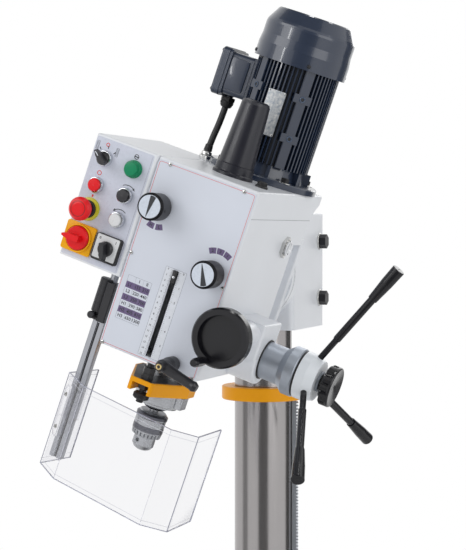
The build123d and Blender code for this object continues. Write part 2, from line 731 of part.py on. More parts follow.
with BuildPart() as head_housing:
    slab((-head_half, head_front, head_bottom), (head_half, head_side_back, seam_height), head_corner)
    slab((-head_half, head_side_back - 20, head_shoulder), (head_half, head_top_back, seam_height),
         head_corner)
    slab((-neck_width / 2, head_side_back - 20, -neck_width / 2),
         (neck_width / 2, head_top_back, head_shoulder), 4)
    plate_back = head_top_back - 4 + back_plate
    slab((-head_half, head_top_back - 4, head_bottom + 8), (head_half, plate_back, head_shoulder + 10), 3)
    drum(tilt_disc_diameter, (0, plate_back - 1, 0), back, -tilt_disc_face - plate_back + 1 - passing)
    fillet(head_housing.faces().sort_by(Axis.Z)[0].edges(), 4)
    box_plane = Plane(origin=(head_half - 4, 0, 0), x_dir=back, z_dir=right)
    with BuildSketch(box_plane) as feed_box:
        with Locations(feed_axis):
            Circle(feed_boss_diameter / 2)
        with BuildLine():
            Polyline((feed_box_back, feed_box_top), (feed_box_front, feed_box_top),
                     (feed_box_front, feed_height),
                     (feed_box_back, feed_height), close=True)
        make_face()
    extrude(amount=feed_box_end - head_half + 4)
    fillet(head_housing.faces().sort_by(Axis.X)[-1].edges(), 5)
    drum(worm_boss_diameter, (*worm_axis[:1], feed_box_front + 6, worm_axis[1]), front,
         feed_box_front + 6 - (wheel_front + wheel_thickness) - 12)
    # Gear room and the open-fronted room round the quill guide
    room = head_half - head_wall
    slab((-room, head_front + head_wall, gear_floor_top), (room, head_side_back - head_wall, seam_height), 4,
         Mode.SUBTRACT)
    slab((-neck_width / 2 + head_wall, head_side_back - 20, gear_floor_top),
         (neck_width / 2 - head_wall, head_top_back - head_wall, seam_height), 4, Mode.SUBTRACT)
    slab((-room, head_front, head_bottom + head_wall), (room, head_side_back - head_wall, floor_low), 0,
         Mode.SUBTRACT)
    drum(guide_diameter, (*guide_axis, head_bottom + 2), up, floor_low - head_bottom)
    drum(26, (lock_x, lock_boss_front, lock_height), back, 40)
    drum(52, (-room - 1, feed_y, feed_height), right, 22)
    drum(quill_diameter + 2 * running, (*guide_axis, head_bottom - 1), up, floor_low - head_bottom + 1,
         Mode.SUBTRACT)
    drum(lock_stud_diameter + 2 * running, (lock_x, lock_boss_front, lock_height), back, 24, Mode.SUBTRACT)
    drum(stop_rod_diameter + 1, (0, stop_rod_y, head_bottom - 1), up, head_wall + 4, Mode.SUBTRACT)
    # Lugs that carry the gear knobs' shafts
    knob_lug = knob_shaft_diameter / 2 + 7
    for lug_front in (head_front + 3, fork_rod_y - 34):
        slab((speed_knob_x - knob_lug, lug_front, speed_knob_height - knob_lug),
             (speed_knob_x + knob_lug, lug_front + 12, floor_low + 1))
    slab((range_knob_x - knob_lug, range_y - 52, gear_floor_top - 1),
         (range_knob_x + knob_lug, range_y - 40, range_knob_height + knob_lug))
    # Floor bores and bearing seats
    for (seat_x, seat_y), outside, shaft in bearing_seats:
        drum(outside + 2 * running, (seat_x, seat_y, gear_floor_top - bearing_height), up, bearing_height + 1,
             Mode.SUBTRACT)
    drum(spline_diameter + 8, (*guide_axis, floor_low - 1), up, gear_floor + 2, Mode.SUBTRACT)
    fork_x = speed_knob_x - speed_crank
    drum(fork_rod_diameter + 2 * running, (fork_x, fork_rod_y, floor_low - 1), up, gear_floor + 2,
         Mode.SUBTRACT)
    # Feed bores
    pinion_room = 2 * (feed_radius + feed_module) + 2
    drum(pinion_room, (-guide_diameter / 2 - 2, feed_y, feed_height), right, guide_diameter + 4,
         Mode.SUBTRACT)
    drum(feed_shaft_diameter + 2 * running, (-head_half - 1, feed_y, feed_height), right, 40, Mode.SUBTRACT)
    drum(clutch_diameter + 2 * running, (room - 2, feed_y, feed_height), right, feed_box_end, Mode.SUBTRACT)
    drum(worm_diameter + 1, (wheel_x, feed_y + worm_length / 2 + 1, wheel_height), front, worm_length + 2,
         Mode.SUBTRACT)
    drum(worm_shaft_diameter + 2 * running, (wheel_x, feed_box_back - 6, wheel_height), front, 260,
         Mode.SUBTRACT)
    # Knob bores and sight glass hole
    drum(knob_shaft_diameter + 2 * running, (range_knob_x, head_front - 1, range_knob_height), back,
         range_y - 39 - head_front, Mode.SUBTRACT)
    drum(knob_shaft_diameter + 2 * running, (speed_knob_x, head_front - 1, speed_knob_height), back,
         fork_rod_y - 20 - head_front, Mode.SUBTRACT)
    drum(glass_flats * 0.6, (room - 1, glass_y, glass_height), right, head_wall + 2, Mode.SUBTRACT)
    drum(tilt_spigot_diameter, (0, -tilt_disc_face - passing - 1, 0), back, tilt_spigot_length + 1)
save(head_housing, "head_housing", head_place)

# Lid: hood over the gear room; its sloping back lip carries the motor
lid_room = head_half - lid_wall
lid_seats = (((0, spindle_y), 55.0, 35.0), ((range_x, range_y), 42.0, 20.0))
with BuildPart() as head_lid:
    slab((-head_half, head_front, seam_height), (head_half, head_top_back, lid_top), head_corner)
    slab((-head_half, head_top_back - 30, lid_top - lid_lip), (head_half, lid_lip_back, lid_top), head_corner)
    slope = Plane(origin=(-head_half, 0, 0), x_dir=back, z_dir=right)
    extrude(outline([(head_top_back - 12, seam_height + 6), (head_top_back, seam_height + 6),
                     (head_top_back + 6, seam_height + 16), (lid_lip_back - 8, lid_top - lid_lip),
                     (lid_lip_back - 8, lid_top - 6), (head_top_back - 12, lid_top - 6)], slope),
                     amount=head_width)
    fillet(head_lid.faces().sort_by(Axis.Z)[-1].edges(), 4)
    slab((-lid_room, head_front + lid_wall, seam_height - 1),
         (lid_room, head_top_back - lid_wall, lid_top - lid_wall), 4, Mode.SUBTRACT)
    for (seat_x, seat_y), outside, shaft in lid_seats:
        drum(outside + 2 * running, (seat_x, seat_y, lid_top - lid_wall - 1), up, lid_wall + 2, Mode.SUBTRACT)
    drum(motor_spigot_diameter + 2 * running, (0, motor_y, lid_top - lid_wall - 1), up, lid_wall + 2,
         Mode.SUBTRACT)
save(head_lid, "head_lid", head_place)

# Front plate, with the depth scale's slot
plate_plane = Plane(origin=(0, head_front, 0), x_dir=right, z_dir=front)
with BuildPart() as front_plate:
    with BuildSketch(plate_plane):
        with Locations((0, (plate_top + plate_bottom) / 2)):
            RectangleRounded(plate_width, plate_top - plate_bottom, 5)
        with Locations((range_knob_x, range_knob_height), (speed_knob_x, speed_knob_height)):
            Circle(knob_shaft_diameter / 2 + passing, mode=Mode.SUBTRACT)
        with Locations((lock_x, lock_height)):
            Circle(lock_stud_diameter / 2 + passing, mode=Mode.SUBTRACT)
        with Locations((0, (scale_slot_top + scale_slot_bottom) / 2)):
            RectangleRounded(scale_slot_width, scale_slot_top - scale_slot_bottom, 1, mode=Mode.SUBTRACT)
    extrude(amount=plate_thickness)
save(front_plate, "front_plate", head_place)

# Control box and its switches
top_row, button_row, start_row, switch_row = button_rows
round_bezels = ((left_column, top_row), (left_column, button_row),
                (right_column, button_row), (right_column, start_row))
lamp_place = (right_column, top_row)
stop_place = (left_column, start_row)
main_place = (left_column, switch_row)
cam_place = (right_column, switch_row)
stem_hole = button_stem_diameter + 2 * passing
with BuildPart() as control_box:
    slab((box_left, box_front, box_bottom), (box_right, box_back, box_top), 4)
    fillet(control_box.faces().sort_by(Axis.Z)[-1].edges(), 3)
    slab((box_left + box_wall, box_front + box_wall, box_bottom + box_wall),
         (box_right - box_wall, box_back - box_wall, box_top - box_wall), 2, Mode.SUBTRACT)
    for place_x, place_z in round_bezels + (stop_place, main_place, cam_place):
        drum(stem_hole, (place_x, box_front - 1, place_z), back, box_wall + 2, Mode.SUBTRACT)
    drum(cable_diameter + 2 * running, (cable_x, motor_y - 16, box_top - box_wall - 1), up, box_wall + 2,
         Mode.SUBTRACT)
save(control_box, "control_box", head_place)

with BuildPart() as control_bezels:
    rim, cup = bezel_diameter / 2, button_diameter / 2 + passing
    for place_x, place_z in round_bezels:
        spin([(stem_hole / 2, 0), (rim, 0), (rim, bezel_height - 3), (rim - 2, bezel_height),
              (cup, bezel_height),
              (cup, 2), (stem_hole / 2, 2)], (place_x, box_front, place_z), front, right)
    spin([(0, 0), (rim, 0), (rim, 5), (rim - 3, 6), (rim - 3, 11), (rim - 5, 14), (rim - 9, 16), (0, 16.5)],
         (lamp_place[0], box_front, lamp_place[1]), front, right)
    collar, neck_hole = mushroom_diameter / 2, button_diameter / 2 + passing
    spin([(stem_hole / 2, 0), (collar, 0), (collar, 5), (collar - 3, 12), (neck_hole, 12), (neck_hole, 2),
          (stem_hole / 2, 2)], (stop_place[0], box_front, stop_place[1]), front, right)
    plates = ((main_place, switch_plate_width, switch_plate_height, switch_plate),
              (cam_place, cam_plate_width, cam_plate_height, cam_plate))
    for (place_x, place_z), wide, high, thick in plates:
        with BuildSketch(Plane(origin=(place_x, box_front, place_z), x_dir=right, z_dir=front)):
            RectangleRounded(wide, high, 3)
            Circle(stem_hole / 2, mode=Mode.SUBTRACT)
        extrude(amount=thick)
save(control_bezels, "control_bezels", head_place)


def push_button(place):
    """A round push button, its face crowned, with its stem through the box's wall."""
    cap, stem = button_diameter / 2, button_stem_diameter / 2
    shoulder = 2 + passing + button_travel
    spin([(0, -box_wall - 6), (stem, -box_wall - 6), (stem, shoulder), (cap, shoulder),
          (cap, button_reach - 1),
          (cap - 1, button_reach), (0, button_reach + 0.6)], (place[0], box_front, place[1]), front, right)


with BuildPart() as stop_button:
    push_button((left_column, button_row))
save(stop_button, "stop_button", head_place)

with BuildPart() as tap_button:
    push_button((right_column, button_row))
save(tap_button, "tap_button", head_place)

with BuildPart() as start_button:
    push_button((right_column, start_row))
save(start_button, "start_button", head_place)

with BuildPart() as e_stop_button:
    cap, neck, stem = mushroom_diameter / 2, button_diameter / 2, button_stem_diameter / 2
    shoulder = 2 + passing + mushroom_travel
    spin([(0, -box_wall - 8), (stem, -box_wall - 8), (stem, shoulder), (neck, shoulder),
          (neck, mushroom_reach - 17), (cap - 2, mushroom_reach - 15), (cap, mushroom_reach - 12),
          (cap, mushroom_reach - 7), (cap - 4, mushroom_reach - 2), (cap - 11, mushroom_reach),
          (0, mushroom_reach)],
         (stop_place[0], box_front, stop_place[1]), front, right)
save(e_stop_button, "e_stop_button", head_place)


def turn_switch(place, base, knob, length, bar, tail, tip, bar_height, turn):
    """A rotary switch: round knob with a grip bar that narrows to its pointing end."""
    stem = button_stem_diameter / 2
    start = base + passing
    spin([(0, -box_wall - 6), (stem, -box_wall - 6), (stem, start), (knob, start), (knob, length - 2),
          (knob - 2, length), (0, length)], (place[0], box_front, place[1]), front, right)
    pointing = (cos(radians(turn)), 0, sin(radians(turn)))
    bar_plane = Plane(origin=(place[0], box_front - length + 1, place[1]), x_dir=pointing, z_dir=front)
    with BuildSketch(bar_plane) as grip:
        with BuildLine():
            Polyline((-tail, bar * 0.3), (-tail + 2, bar / 2), (tip - bar, bar / 2), (tip, bar * 0.2),
                     (tip, -bar * 0.2), (tip - bar, -bar / 2), (-tail + 2, -bar / 2), (-tail, -bar * 0.3),
                     close=True)
        make_face()
    extrude(grip.sketch, amount=bar_height + 1, taper=4)


with BuildPart() as direction_selector:
    turn_switch((left_column, top_row), 2, button_diameter / 2, button_reach, 10, 13, 17, 11, selector_turn)
save(direction_selector, "direction_selector", head_place)

with BuildPart() as main_switch:
    turn_switch(main_place, switch_plate, 20.5, switch_plate + 7, 12, 10, 24, 14, main_switch_turn)
save(main_switch, "main_switch", head_place)

with BuildPart() as coolant_switch:
    turn_switch(cam_place, cam_plate, 13, cam_plate + 8, 10, 12, 20, 14, cam_switch_turn)
save(coolant_switch, "coolant_switch", head_place)

# Spindle cap over the splined spindle's upper end
with BuildPart() as spindle_cap:
    ring, foot = cap_base_diameter / 2, cap_foot_diameter / 2
    body, crown = cap_body_diameter / 2, cap_top_diameter / 2
    rise = cap_top - lid_top
    foot_top = cap_base_height + 13
    spin([(body - cap_wall, 0), (ring, 0), (ring, cap_base_height - 2), (ring - 2, cap_base_height),
          (foot, cap_base_height), (foot, foot_top), (body, foot_top + 1), (crown, rise - 7),
          (crown - 2, rise - 2),
          (crown - 7, rise), (0, rise), (0, rise - cap_wall), (crown - cap_wall - 3, rise - cap_wall),
          (crown - cap_wall, rise - 8)], (0, spindle_y, lid_top))
save(spindle_cap, "spindle_cap", head_place)

with BuildPart() as sight_glass:
    glass_seat = (head_half, glass_y, glass_height)
    hexagon(glass_flats, glass_seat, right, glass_reach - 2)
    spin([(0, -head_wall), (glass_flats * 0.3 - running, -head_wall), (glass_flats * 0.3 - running, 0),
          (glass_flats * 0.44, 0), (glass_flats * 0.44, glass_reach), (glass_flats * 0.32, glass_reach),
          (glass_flats * 0.32, glass_reach - 2), (0, glass_reach - 1)], glass_seat, right, up)
save(sight_glass, "sight_glass", head_place)

# Motor: flanged, finned frame standing on the lid
motor_axis = (0, motor_y)
lug_angles = (-54, -126, 54, 126)
lug_heights = (266.0, 338.0)
with BuildPart() as motor_body:
    spigot, frame = motor_spigot_diameter / 2, motor_frame_diameter / 2
    end = cowl_diameter / 2 - cowl_wall - running
    wheel = motor_flange_diameter / 2
    spin([(0, lid_top - lid_wall), (spigot, lid_top - lid_wall), (spigot, lid_top), (wheel, lid_top),
          (wheel, lid_top + motor_flange - 2), (wheel - 2, lid_top + motor_flange),
          (frame + 10, lid_top + motor_flange), (frame + 4, motor_frame_low), (frame, motor_frame_low),
          (frame, motor_frame_high), (end, motor_frame_high), (end, motor_frame_high + 8),
          (frame - 8, motor_frame_high + 10), (0, motor_frame_high + 10)], (*motor_axis, 0))
    fin_reach = motor_fin_diameter / 2
    with BuildSketch(Plane((*motor_axis, motor_frame_low))):
        with PolarLocations((fin_reach + frame - 2) / 2, motor_fins):
            Rectangle(fin_reach - frame + 2, motor_fin_thickness)
        for angle in lug_angles:
            with PolarLocations((fin_reach + frame) / 2, 1, start_angle=angle):
                Rectangle(fin_reach - frame + 1, corner_rib)
    extrude(amount=motor_frame_high - motor_frame_low)
    with BuildSketch(Plane((*motor_axis, lid_top + motor_flange - 1))):
        with PolarLocations(frame + 10, 8, start_angle=22.5):
            Rectangle(20, 6)
    extrude(amount=motor_frame_low - lid_top - motor_flange + 1)
    for angle in lug_angles:
        for height in lug_heights:
            with BuildSketch(Plane((*motor_axis, height - lug_height / 2))):
                with PolarLocations((fin_reach + frame) / 2, 1, start_angle=angle):
                    Rectangle(fin_reach - frame + 3, lug_width)
            extrude(amount=lug_height)
    slab((terminal_inner, motor_y - 36, terminal_low + 6), (-frame + 8, motor_y + 36, terminal_high - 6))
    slab((-motor_fin_diameter, motor_y - terminal_width / 2 - 1, terminal_low - 1),
         (terminal_inner, motor_y + terminal_width / 2 + 1, terminal_high + 1), mode=Mode.SUBTRACT)
    drum(rotor_diameter + 2, (*motor_axis, motor_frame_low + 10), up, motor_frame_high - motor_frame_low - 20,
         Mode.SUBTRACT)
    drum(rotor_shaft_diameter + 2 * running, (*motor_axis, lid_top - lid_wall - 1), up, 300, Mode.SUBTRACT)
save(motor_body, "motor_body", head_place)

with BuildPart() as motor_cowl:
    outer, crown = cowl_diameter / 2, cowl_top_diameter / 2
    spin([(outer - cowl_wall, cowl_bottom), (outer + 2, cowl_bottom), (outer + 2, cowl_bottom + 26),
          (outer, cowl_bottom + 42), (outer, cowl_shoulder - 8), (outer - 0.7, cowl_shoulder - 4),
          (outer - 2.4, cowl_shoulder),
          (crown + 2, cowl_top - 2),
          (crown, cowl_top), (0, cowl_top), (0, cowl_top - cowl_wall), (crown - 1, cowl_top - cowl_wall),
          (outer - cowl_wall - 2, cowl_shoulder - 1), (outer - cowl_wall, cowl_shoulder - 5)],
          (*motor_axis, 0))
    with BuildSketch(Plane((*motor_axis, cowl_top + 1))):
        for ring in (22, 34, 46, 58):
            with PolarLocations(ring, 12):
                SlotOverall(ring * 0.40, 5, rotation=90)
    extrude(amount=-cowl_wall - 2, mode=Mode.SUBTRACT)
save(motor_cowl, "motor_cowl", head_place)

gland_x = cable_x
with BuildPart() as terminal_box:
    side, half = terminal_width / 2, (terminal_high - terminal_low) / 2
    middle = (terminal_high + terminal_low) / 2
    face = Plane(origin=(terminal_inner, motor_y, middle), x_dir=front, z_dir=(-1, 0, 0))
    depth = terminal_inner - terminal_outer
    with BuildSketch(face):
        RectangleRounded(terminal_width - 10, 2 * half - 10, 8)
    extrude(amount=depth - terminal_lid - 6)
    with BuildSketch(face.offset(depth - terminal_lid - 6)):
        RectangleRounded(terminal_width - 3, 2 * half - 3, 8)
    extrude(amount=6)
    with BuildSketch(face.offset(depth - terminal_lid)):
        RectangleRounded(terminal_width, 2 * half, 9)
    extrude(amount=terminal_lid)
    fillet(terminal_box.faces().sort_by(Axis.X)[0].edges(), 4)
    spin([(0, 8), (gland_diameter / 2 - 2, 8), (gland_diameter / 2 - 2, -2), (gland_diameter / 2, -2),
          (gland_diameter / 2, -9), (gland_diameter / 2 - 3, -14), (0, -14)],
          (gland_x, motor_y, terminal_low))
    drum(cable_diameter + 2 * running, (gland_x, motor_y, terminal_low - 15), up, 13, Mode.SUBTRACT)
save(terminal_box, "terminal_box", head_place)

# Motor cable: from the gland down into the control box's top
cable_top = (gland_x, motor_y, terminal_low - 4)
cable_end = (cable_x, motor_y - 16, box_top - box_wall - 2)
cable_bend = 50.0
with BuildPart() as motor_cable:
    with BuildLine() as run:
        FilletPolyline(cable_top, (gland_x, motor_y, cable_top[2] - 36),
                       (cable_x, motor_y - 16, cable_end[2] + 34),
                       cable_end, radius=cable_bend)
    with BuildSketch(Plane(origin=cable_top, z_dir=(0, 0, -1))):
        Circle(cable_diameter / 2)
    sweep(path=run.line)
save(motor_cable, "motor_cable", head_place)

# Rotor: shaft down into the gear room, core, and the fan under the cowl
fan_low = motor_frame_high + 14
with BuildPart() as motor_rotor:
    shaft, core = rotor_shaft_diameter / 2, rotor_diameter / 2
    core_low, core_high = motor_frame_low + 20, motor_frame_high - 20
    spin([(0, gear_floor_top - bearing_height + passing), (shaft, gear_floor_top - bearing_height + passing),
          (shaft, core_low), (core, core_low), (core, core_high), (shaft, core_high), (shaft, fan_low + 34),
          (0, fan_low + 34)], (*motor_axis, 0))
    tube(fan_diameter, rotor_shaft_diameter - 2, (*motor_axis, fan_low), up, 3)
    tube(2 * rotor_shaft_diameter, rotor_shaft_diameter - 2, (*motor_axis, fan_low), up, 30)
    with BuildSketch(Plane((*motor_axis, fan_low + 2))):
        with PolarLocations((fan_diameter / 2 + shaft) / 2, fan_blades):
            Rectangle(fan_diameter / 2 - shaft - 2, 3)
    extrude(amount=26)
save(motor_rotor, "motor_rotor", head_place)

# Gear train: three-speed cluster, range shaft, two-speed cluster, drive sleeve
half_gear = gear_width / 2
pair_step = 2 * shift_step - 1
cluster_step = shift_step - 1
speed_heights = [high_gear_height + shift_step + cluster_step * n for n in range(3)]
fixed_heights = [high_gear_height + pair_step * n for n in range(3)]
speed_groove = speed_heights[0] - half_gear - fork_thickness - 1.5
with BuildPart() as speed_cluster:
    hub, lip = rotor_shaft_diameter / 2 + 6, rotor_shaft_diameter / 2 + 8
    groove = rotor_shaft_diameter / 2 + 3.3
    spin([(0, speed_groove - 5), (lip, speed_groove - 5), (lip, speed_groove), (groove, speed_groove),
          (groove, speed_heights[0] - half_gear), (hub, speed_heights[0] - half_gear),
          (hub, speed_heights[2] + half_gear), (0, speed_heights[2] + half_gear)], (*motor_axis, 0))
    for teeth, height in zip(speed_teeth, speed_heights):
        gear(teeth, motor_axis, height, mesh_to_motor + 180)
    drum(rotor_shaft_diameter + 2 * running, (*motor_axis, 0), up, 200, Mode.SUBTRACT)
save(speed_cluster, "speed_cluster", head_place)

range_axis = (range_x, range_y)
with BuildPart() as range_shaft:
    shaft = range_shaft_diameter / 2
    spin([(0, gear_floor_top - bearing_height + passing), (shaft, gear_floor_top - bearing_height + passing),
          (shaft, lid_top - lid_wall - passing), (lid_seats[1][2] / 2, lid_top - lid_wall - passing),
          (lid_seats[1][2] / 2, lid_top - 3), (0, lid_top - 3)], (*range_axis, 0))
    for teeth, height in zip(range_fixed_teeth, fixed_heights):
        gear(teeth, range_axis, height, mesh_to_motor + 180 / teeth)
save(range_shaft, "range_shaft", head_place)

range_heights = (low_gear_height, low_gear_height + shift_step)
range_groove = range_heights[1] + half_gear
with BuildPart() as range_cluster:
    hub, lip = range_shaft_diameter / 2 + 7.5, range_x - range_knob_x - range_crank + crank_pin_diameter / 2
    groove = lip - crank_pin_diameter - 2
    groove_top = range_groove + crank_pin_diameter + 1
    spin([(0, low_gear_height - half_gear), (hub, low_gear_height - half_gear), (hub, range_groove),
          (groove, range_groove), (groove, groove_top), (lip, groove_top), (lip, groove_top + 4.5),
          (0, groove_top + 4.5)], (*range_axis, 0))
    for teeth, height in zip(range_teeth, range_heights):
        gear(teeth, range_axis, height, mesh_to_spindle)
    drum(range_shaft_diameter + 2 * running, (*range_axis, 0), up, 200, Mode.SUBTRACT)
save(range_cluster, "range_cluster", head_place)

with BuildPart() as drive_sleeve:
    body, journal = sleeve_diameter / 2, lid_seats[0][2] / 2
    spin([(0, gear_floor_top - bearing_height + passing), (body, gear_floor_top - bearing_height + passing),
          (body, lid_top - lid_wall - passing), (journal, lid_top - lid_wall - passing),
          (journal, lid_top + 3),
          (0, lid_top + 3)], (*guide_axis, 0))
    for teeth, height in zip(sleeve_teeth, (low_gear_height, low_gear_height + 2 * shift_step)):
        gear(teeth, guide_axis, height, mesh_to_spindle + 180 + 180 / teeth)
    drum(spline_diameter + 2 * running, (*guide_axis, 0), up, 300, Mode.SUBTRACT)
save(drive_sleeve, "drive_sleeve", head_place)


def bearing(outside, shaft, start, width):
    """A ball bearing seen from outside: two rings with a sunk shield between them."""
    inner, outer = shaft / 2 + running, outside / 2
    ring = 0.3 * (outer - inner)
    spin([(inner, 0), (inner + ring, 0), (inner + ring, 1), (outer - ring, 1), (outer - ring, 0), (outer, 0),
          (outer, width), (outer - ring, width), (outer - ring, width - 1), (inner + ring, width - 1),
          (inner + ring, width), (inner, width)], start)


with BuildPart() as gearbox_bearings:
    for place, outside, shaft in bearing_seats:
        bearing(outside, shaft, (*place, gear_floor_top - bearing_height), bearing_height)
    for place, outside, shaft in lid_seats:
        bearing(outside, shaft, (*place, lid_top - lid_wall), lid_wall)
save(gearbox_bearings, "gearbox_bearings", head_place)


def gear_knob(place, crank_y, pin_end, crank, pin_way):
    """A fluted knob on its shaft, with a crank and pin at the shaft's inner end."""
    grip = knob_diameter / 2
    knob_start = plate_front - passing
    spin([(0, 0), (grip * 0.72, 0), (grip, 7), (grip, knob_length - 5), (grip - 4, knob_length),
          (0, knob_length)],
         (place[0], knob_start, place[1]), front, right)
    drum(knob_shaft_diameter, (place[0], knob_start, place[1]), back, crank_y - knob_start)
    drum(knob_shaft_diameter + 6, (place[0], crank_y, place[1]), front, 8)
    pin = (place[0] + crank * pin_way[0], place[1] + crank * pin_way[1])
    half = crank_pin_diameter / 2
    across = (-pin_way[1] * half, pin_way[0] * half)
    face = Plane(origin=(0, crank_y, 0), x_dir=right, z_dir=front)
    extrude(outline([(place[0] + across[0], place[1] + across[1]), (pin[0] + across[0], pin[1] + across[1]),
                     (pin[0] - across[0], pin[1] - across[1]),
                     (place[0] - across[0], place[1] - across[1])], face),
            amount=8)
    drum(crank_pin_diameter, (pin[0], crank_y - 8, pin[1]), back, pin_end - crank_y + 8)


range_swing = asin(shift_step / 2 / range_crank)
with BuildPart() as range_knob:
    gear_knob((range_knob_x, range_knob_height), range_y - 23, range_y + 10, range_crank,
              (cos(range_swing), -sin(range_swing)))
save(range_knob, "range_knob", head_place)

with BuildPart() as speed_knob:
    gear_knob((speed_knob_x, speed_knob_height), fork_rod_y - 8, fork_rod_y + 8, speed_crank, (-1, 0))
save(speed_knob, "speed_knob", head_place)

# Speed fork: slotted foot on the knob's pin, rod through the floor, finger in the cluster's groove
with BuildPart() as speed_fork:
    foot_half = fork_rod_diameter / 2
    finger_low = speed_groove + 0.75
    rod_length = finger_low + fork_thickness - speed_knob_height + 15
    drum(fork_rod_diameter, (fork_x, fork_rod_y, speed_knob_height - 15), up, rod_length)
    slab((fork_x - foot_half - 5, fork_rod_y - foot_half, speed_knob_height - 15),
         (fork_x + foot_half, fork_rod_y + foot_half, speed_knob_height + 15), 2)
    pin_half = crank_pin_diameter / 2
    slab((fork_x - pin_half - 1, fork_rod_y - foot_half - 1, speed_knob_height - pin_half - 0.5),
         (fork_x + foot_half + 1, fork_rod_y + foot_half + 1, speed_knob_height + pin_half + 0.5),
         mode=Mode.SUBTRACT)
    with BuildSketch(Plane((0, motor_y, finger_low))):
        run_x, run_y = fork_x, fork_rod_y - motor_y
        reach = hypot(run_x, run_y)
        with Locations(Location((run_x / 2, run_y / 2), degrees(atan2(run_y, run_x)))):
            Rectangle(reach, fork_width)
        with Locations((run_x, run_y)):
            Circle(fork_width / 2)
        Circle(rotor_shaft_diameter / 2 + 3.3 + passing, mode=Mode.SUBTRACT)
    extrude(amount=fork_thickness)
save(speed_fork, "speed_fork", head_place)

# Quill: rack along its back, bearing seats at both ends, clamp ring round its nose
clamp_half = clamp_ring_diameter / 2
with BuildPart() as quill:
    outer, seat, bore = quill_diameter / 2, quill_bearing_diameter / 2 + running, spindle_diameter / 2 + 3
    spin([(seat, quill_bottom), (outer, quill_bottom), (outer, quill_top), (seat, quill_top),
          (seat, quill_top - bearing_width - 2), (bore, quill_top - bearing_width - 2),
          (bore, quill_bottom + bearing_width + 2), (seat, quill_bottom + bearing_width + 2)],
          (*guide_axis, 0))
    tube(clamp_ring_diameter, quill_diameter - 2, (*guide_axis, clamp_ring_low), up, clamp_ring_height)
    chamfer(quill.edges().filter_by(GeomType.CIRCLE).filter_by(lambda e: abs(e.radius - clamp_half) < 0.1), 2)
    slab((quill_diameter / 2 - 3, spindle_y - 15, clamp_ring_low + 3),
         (clamp_half + 8, spindle_y + 15, stop_bottom - 3), 4)
    rack_side = Plane(origin=(0, spindle_y, 0), x_dir=back, z_dir=right)
    extrude(outline(rack_points(feed_height - 3 * feed_module * pi, quill_top + 8, feed_height,
                                quill_diameter / 2 + 10,
                                quill_rack_line + feed_module, feed_module), rack_side), amount=30, both=True,
            mode=Mode.SUBTRACT)
save(quill, "quill", head_place)

with BuildPart() as spindle_bearings:
    for low in (quill_bottom + 2, quill_top - bearing_width - 2):
        bearing(quill_bearing_diameter, spindle_diameter, (*guide_axis, low), bearing_width)
save(spindle_bearings, "spindle_bearings", head_place)

arbor_depth = 25.0
with BuildPart() as spindle:
    nose, body = nose_diameter / 2, spindle_diameter / 2
    spline, arbor = spline_diameter / 2, arbor_diameter / 2
    nose_top = quill_bottom - passing
    spin([(0, chuck_top - arbor_depth), (arbor, chuck_top - arbor_depth), (arbor, nose_top - nose_height),
          (nose * 0.66, nose_top - nose_height), (nose * 0.9, nose_top - nose_height * 0.55),
          (nose, nose_top - nose_height * 0.15), (nose, nose_top), (body, nose_top), (body, quill_top - 1),
          (spline, quill_top + 1), (spline, spindle_top - 2), (spline - 2, spindle_top), (0, spindle_top)],
         (*guide_axis, 0))
save(spindle, "spindle", head_place)

# Chuck: built upright on its own axis, hanging down from its back face
chuck_place = head_place * Location((0, spindle_y, chuck_top))
jaw_tip = -chuck_length + 10
jaw_line = jaw_grip + 3
lean = radians(jaw_slant)


def jaw_axis(turn):
    """Start and direction of a jaw's axis, from its tip up and out."""
    along = (sin(lean) * cos(turn), sin(lean) * sin(turn), cos(lean))
    return (jaw_line * cos(turn), jaw_line * sin(turn), jaw_tip), along


with BuildPart() as chuck_body:
    rim, hub, nose = chuck_diameter / 2, chuck_hub_diameter / 2, chuck_nose_diameter / 2
    hub_low = -chuck_back_height - 2 * passing - chuck_sleeve_height
    spin([(0, 0), (rim - 5, 0), (rim, -5), (rim, -chuck_back_height), (hub, -chuck_back_height),
          (hub, hub_low),
          (nose, hub_low - 2), (nose, -chuck_length + 9), (nose - 4, -chuck_length + 3),
          (nose - 9, -chuck_length),
          (0, -chuck_length)], (0, 0, 0))
    drum(arbor_diameter + 2 * running, (0, 0, 1), (0, 0, -1), arbor_depth + 2, Mode.SUBTRACT)
    drum(chuck_mouth, (0, 0, -chuck_length - 1), up, chuck_mouth_depth + 1, Mode.SUBTRACT)
    for jaw in range(3):
        turn = 2 * pi / 3 * jaw + radians(chuck_turn)
        start, along = jaw_axis(turn)
        low = tuple(s - jaw_close * a for s, a in zip(start, along))
        drum(jaw_diameter + 2 * passing, low, along, jaw_close + jaw_length + jaw_open + 2, Mode.SUBTRACT)
        hole_turn = turn + pi / 3
        drum(key_hole, (nose * 1.1 * cos(hole_turn), nose * 1.1 * sin(hole_turn), hub_low - 9),
             (-cos(hole_turn), -sin(hole_turn), 0), nose * 0.6, Mode.SUBTRACT)
save(chuck_body, "chuck_body", chuck_place)

with BuildPart() as chuck_sleeve:
    bore, outer = chuck_hub_diameter / 2 + running, chuck_diameter / 2 - 0.8
    high = -chuck_back_height - passing
    low = high - chuck_sleeve_height
    spin([(bore, high), (outer - 1.5, high), (outer, high - 1.5), (outer, low + 9), (bore + 1.5, low),
          (bore, low)],
         (0, 0, 0))
    with Locations((0, 0, low + 3.5)):
        with PolarLocations(outer, chuck_teeth):
            Box(6, 2.8, 9, mode=Mode.SUBTRACT)
save(chuck_sleeve, "chuck_sleeve", chuck_place)

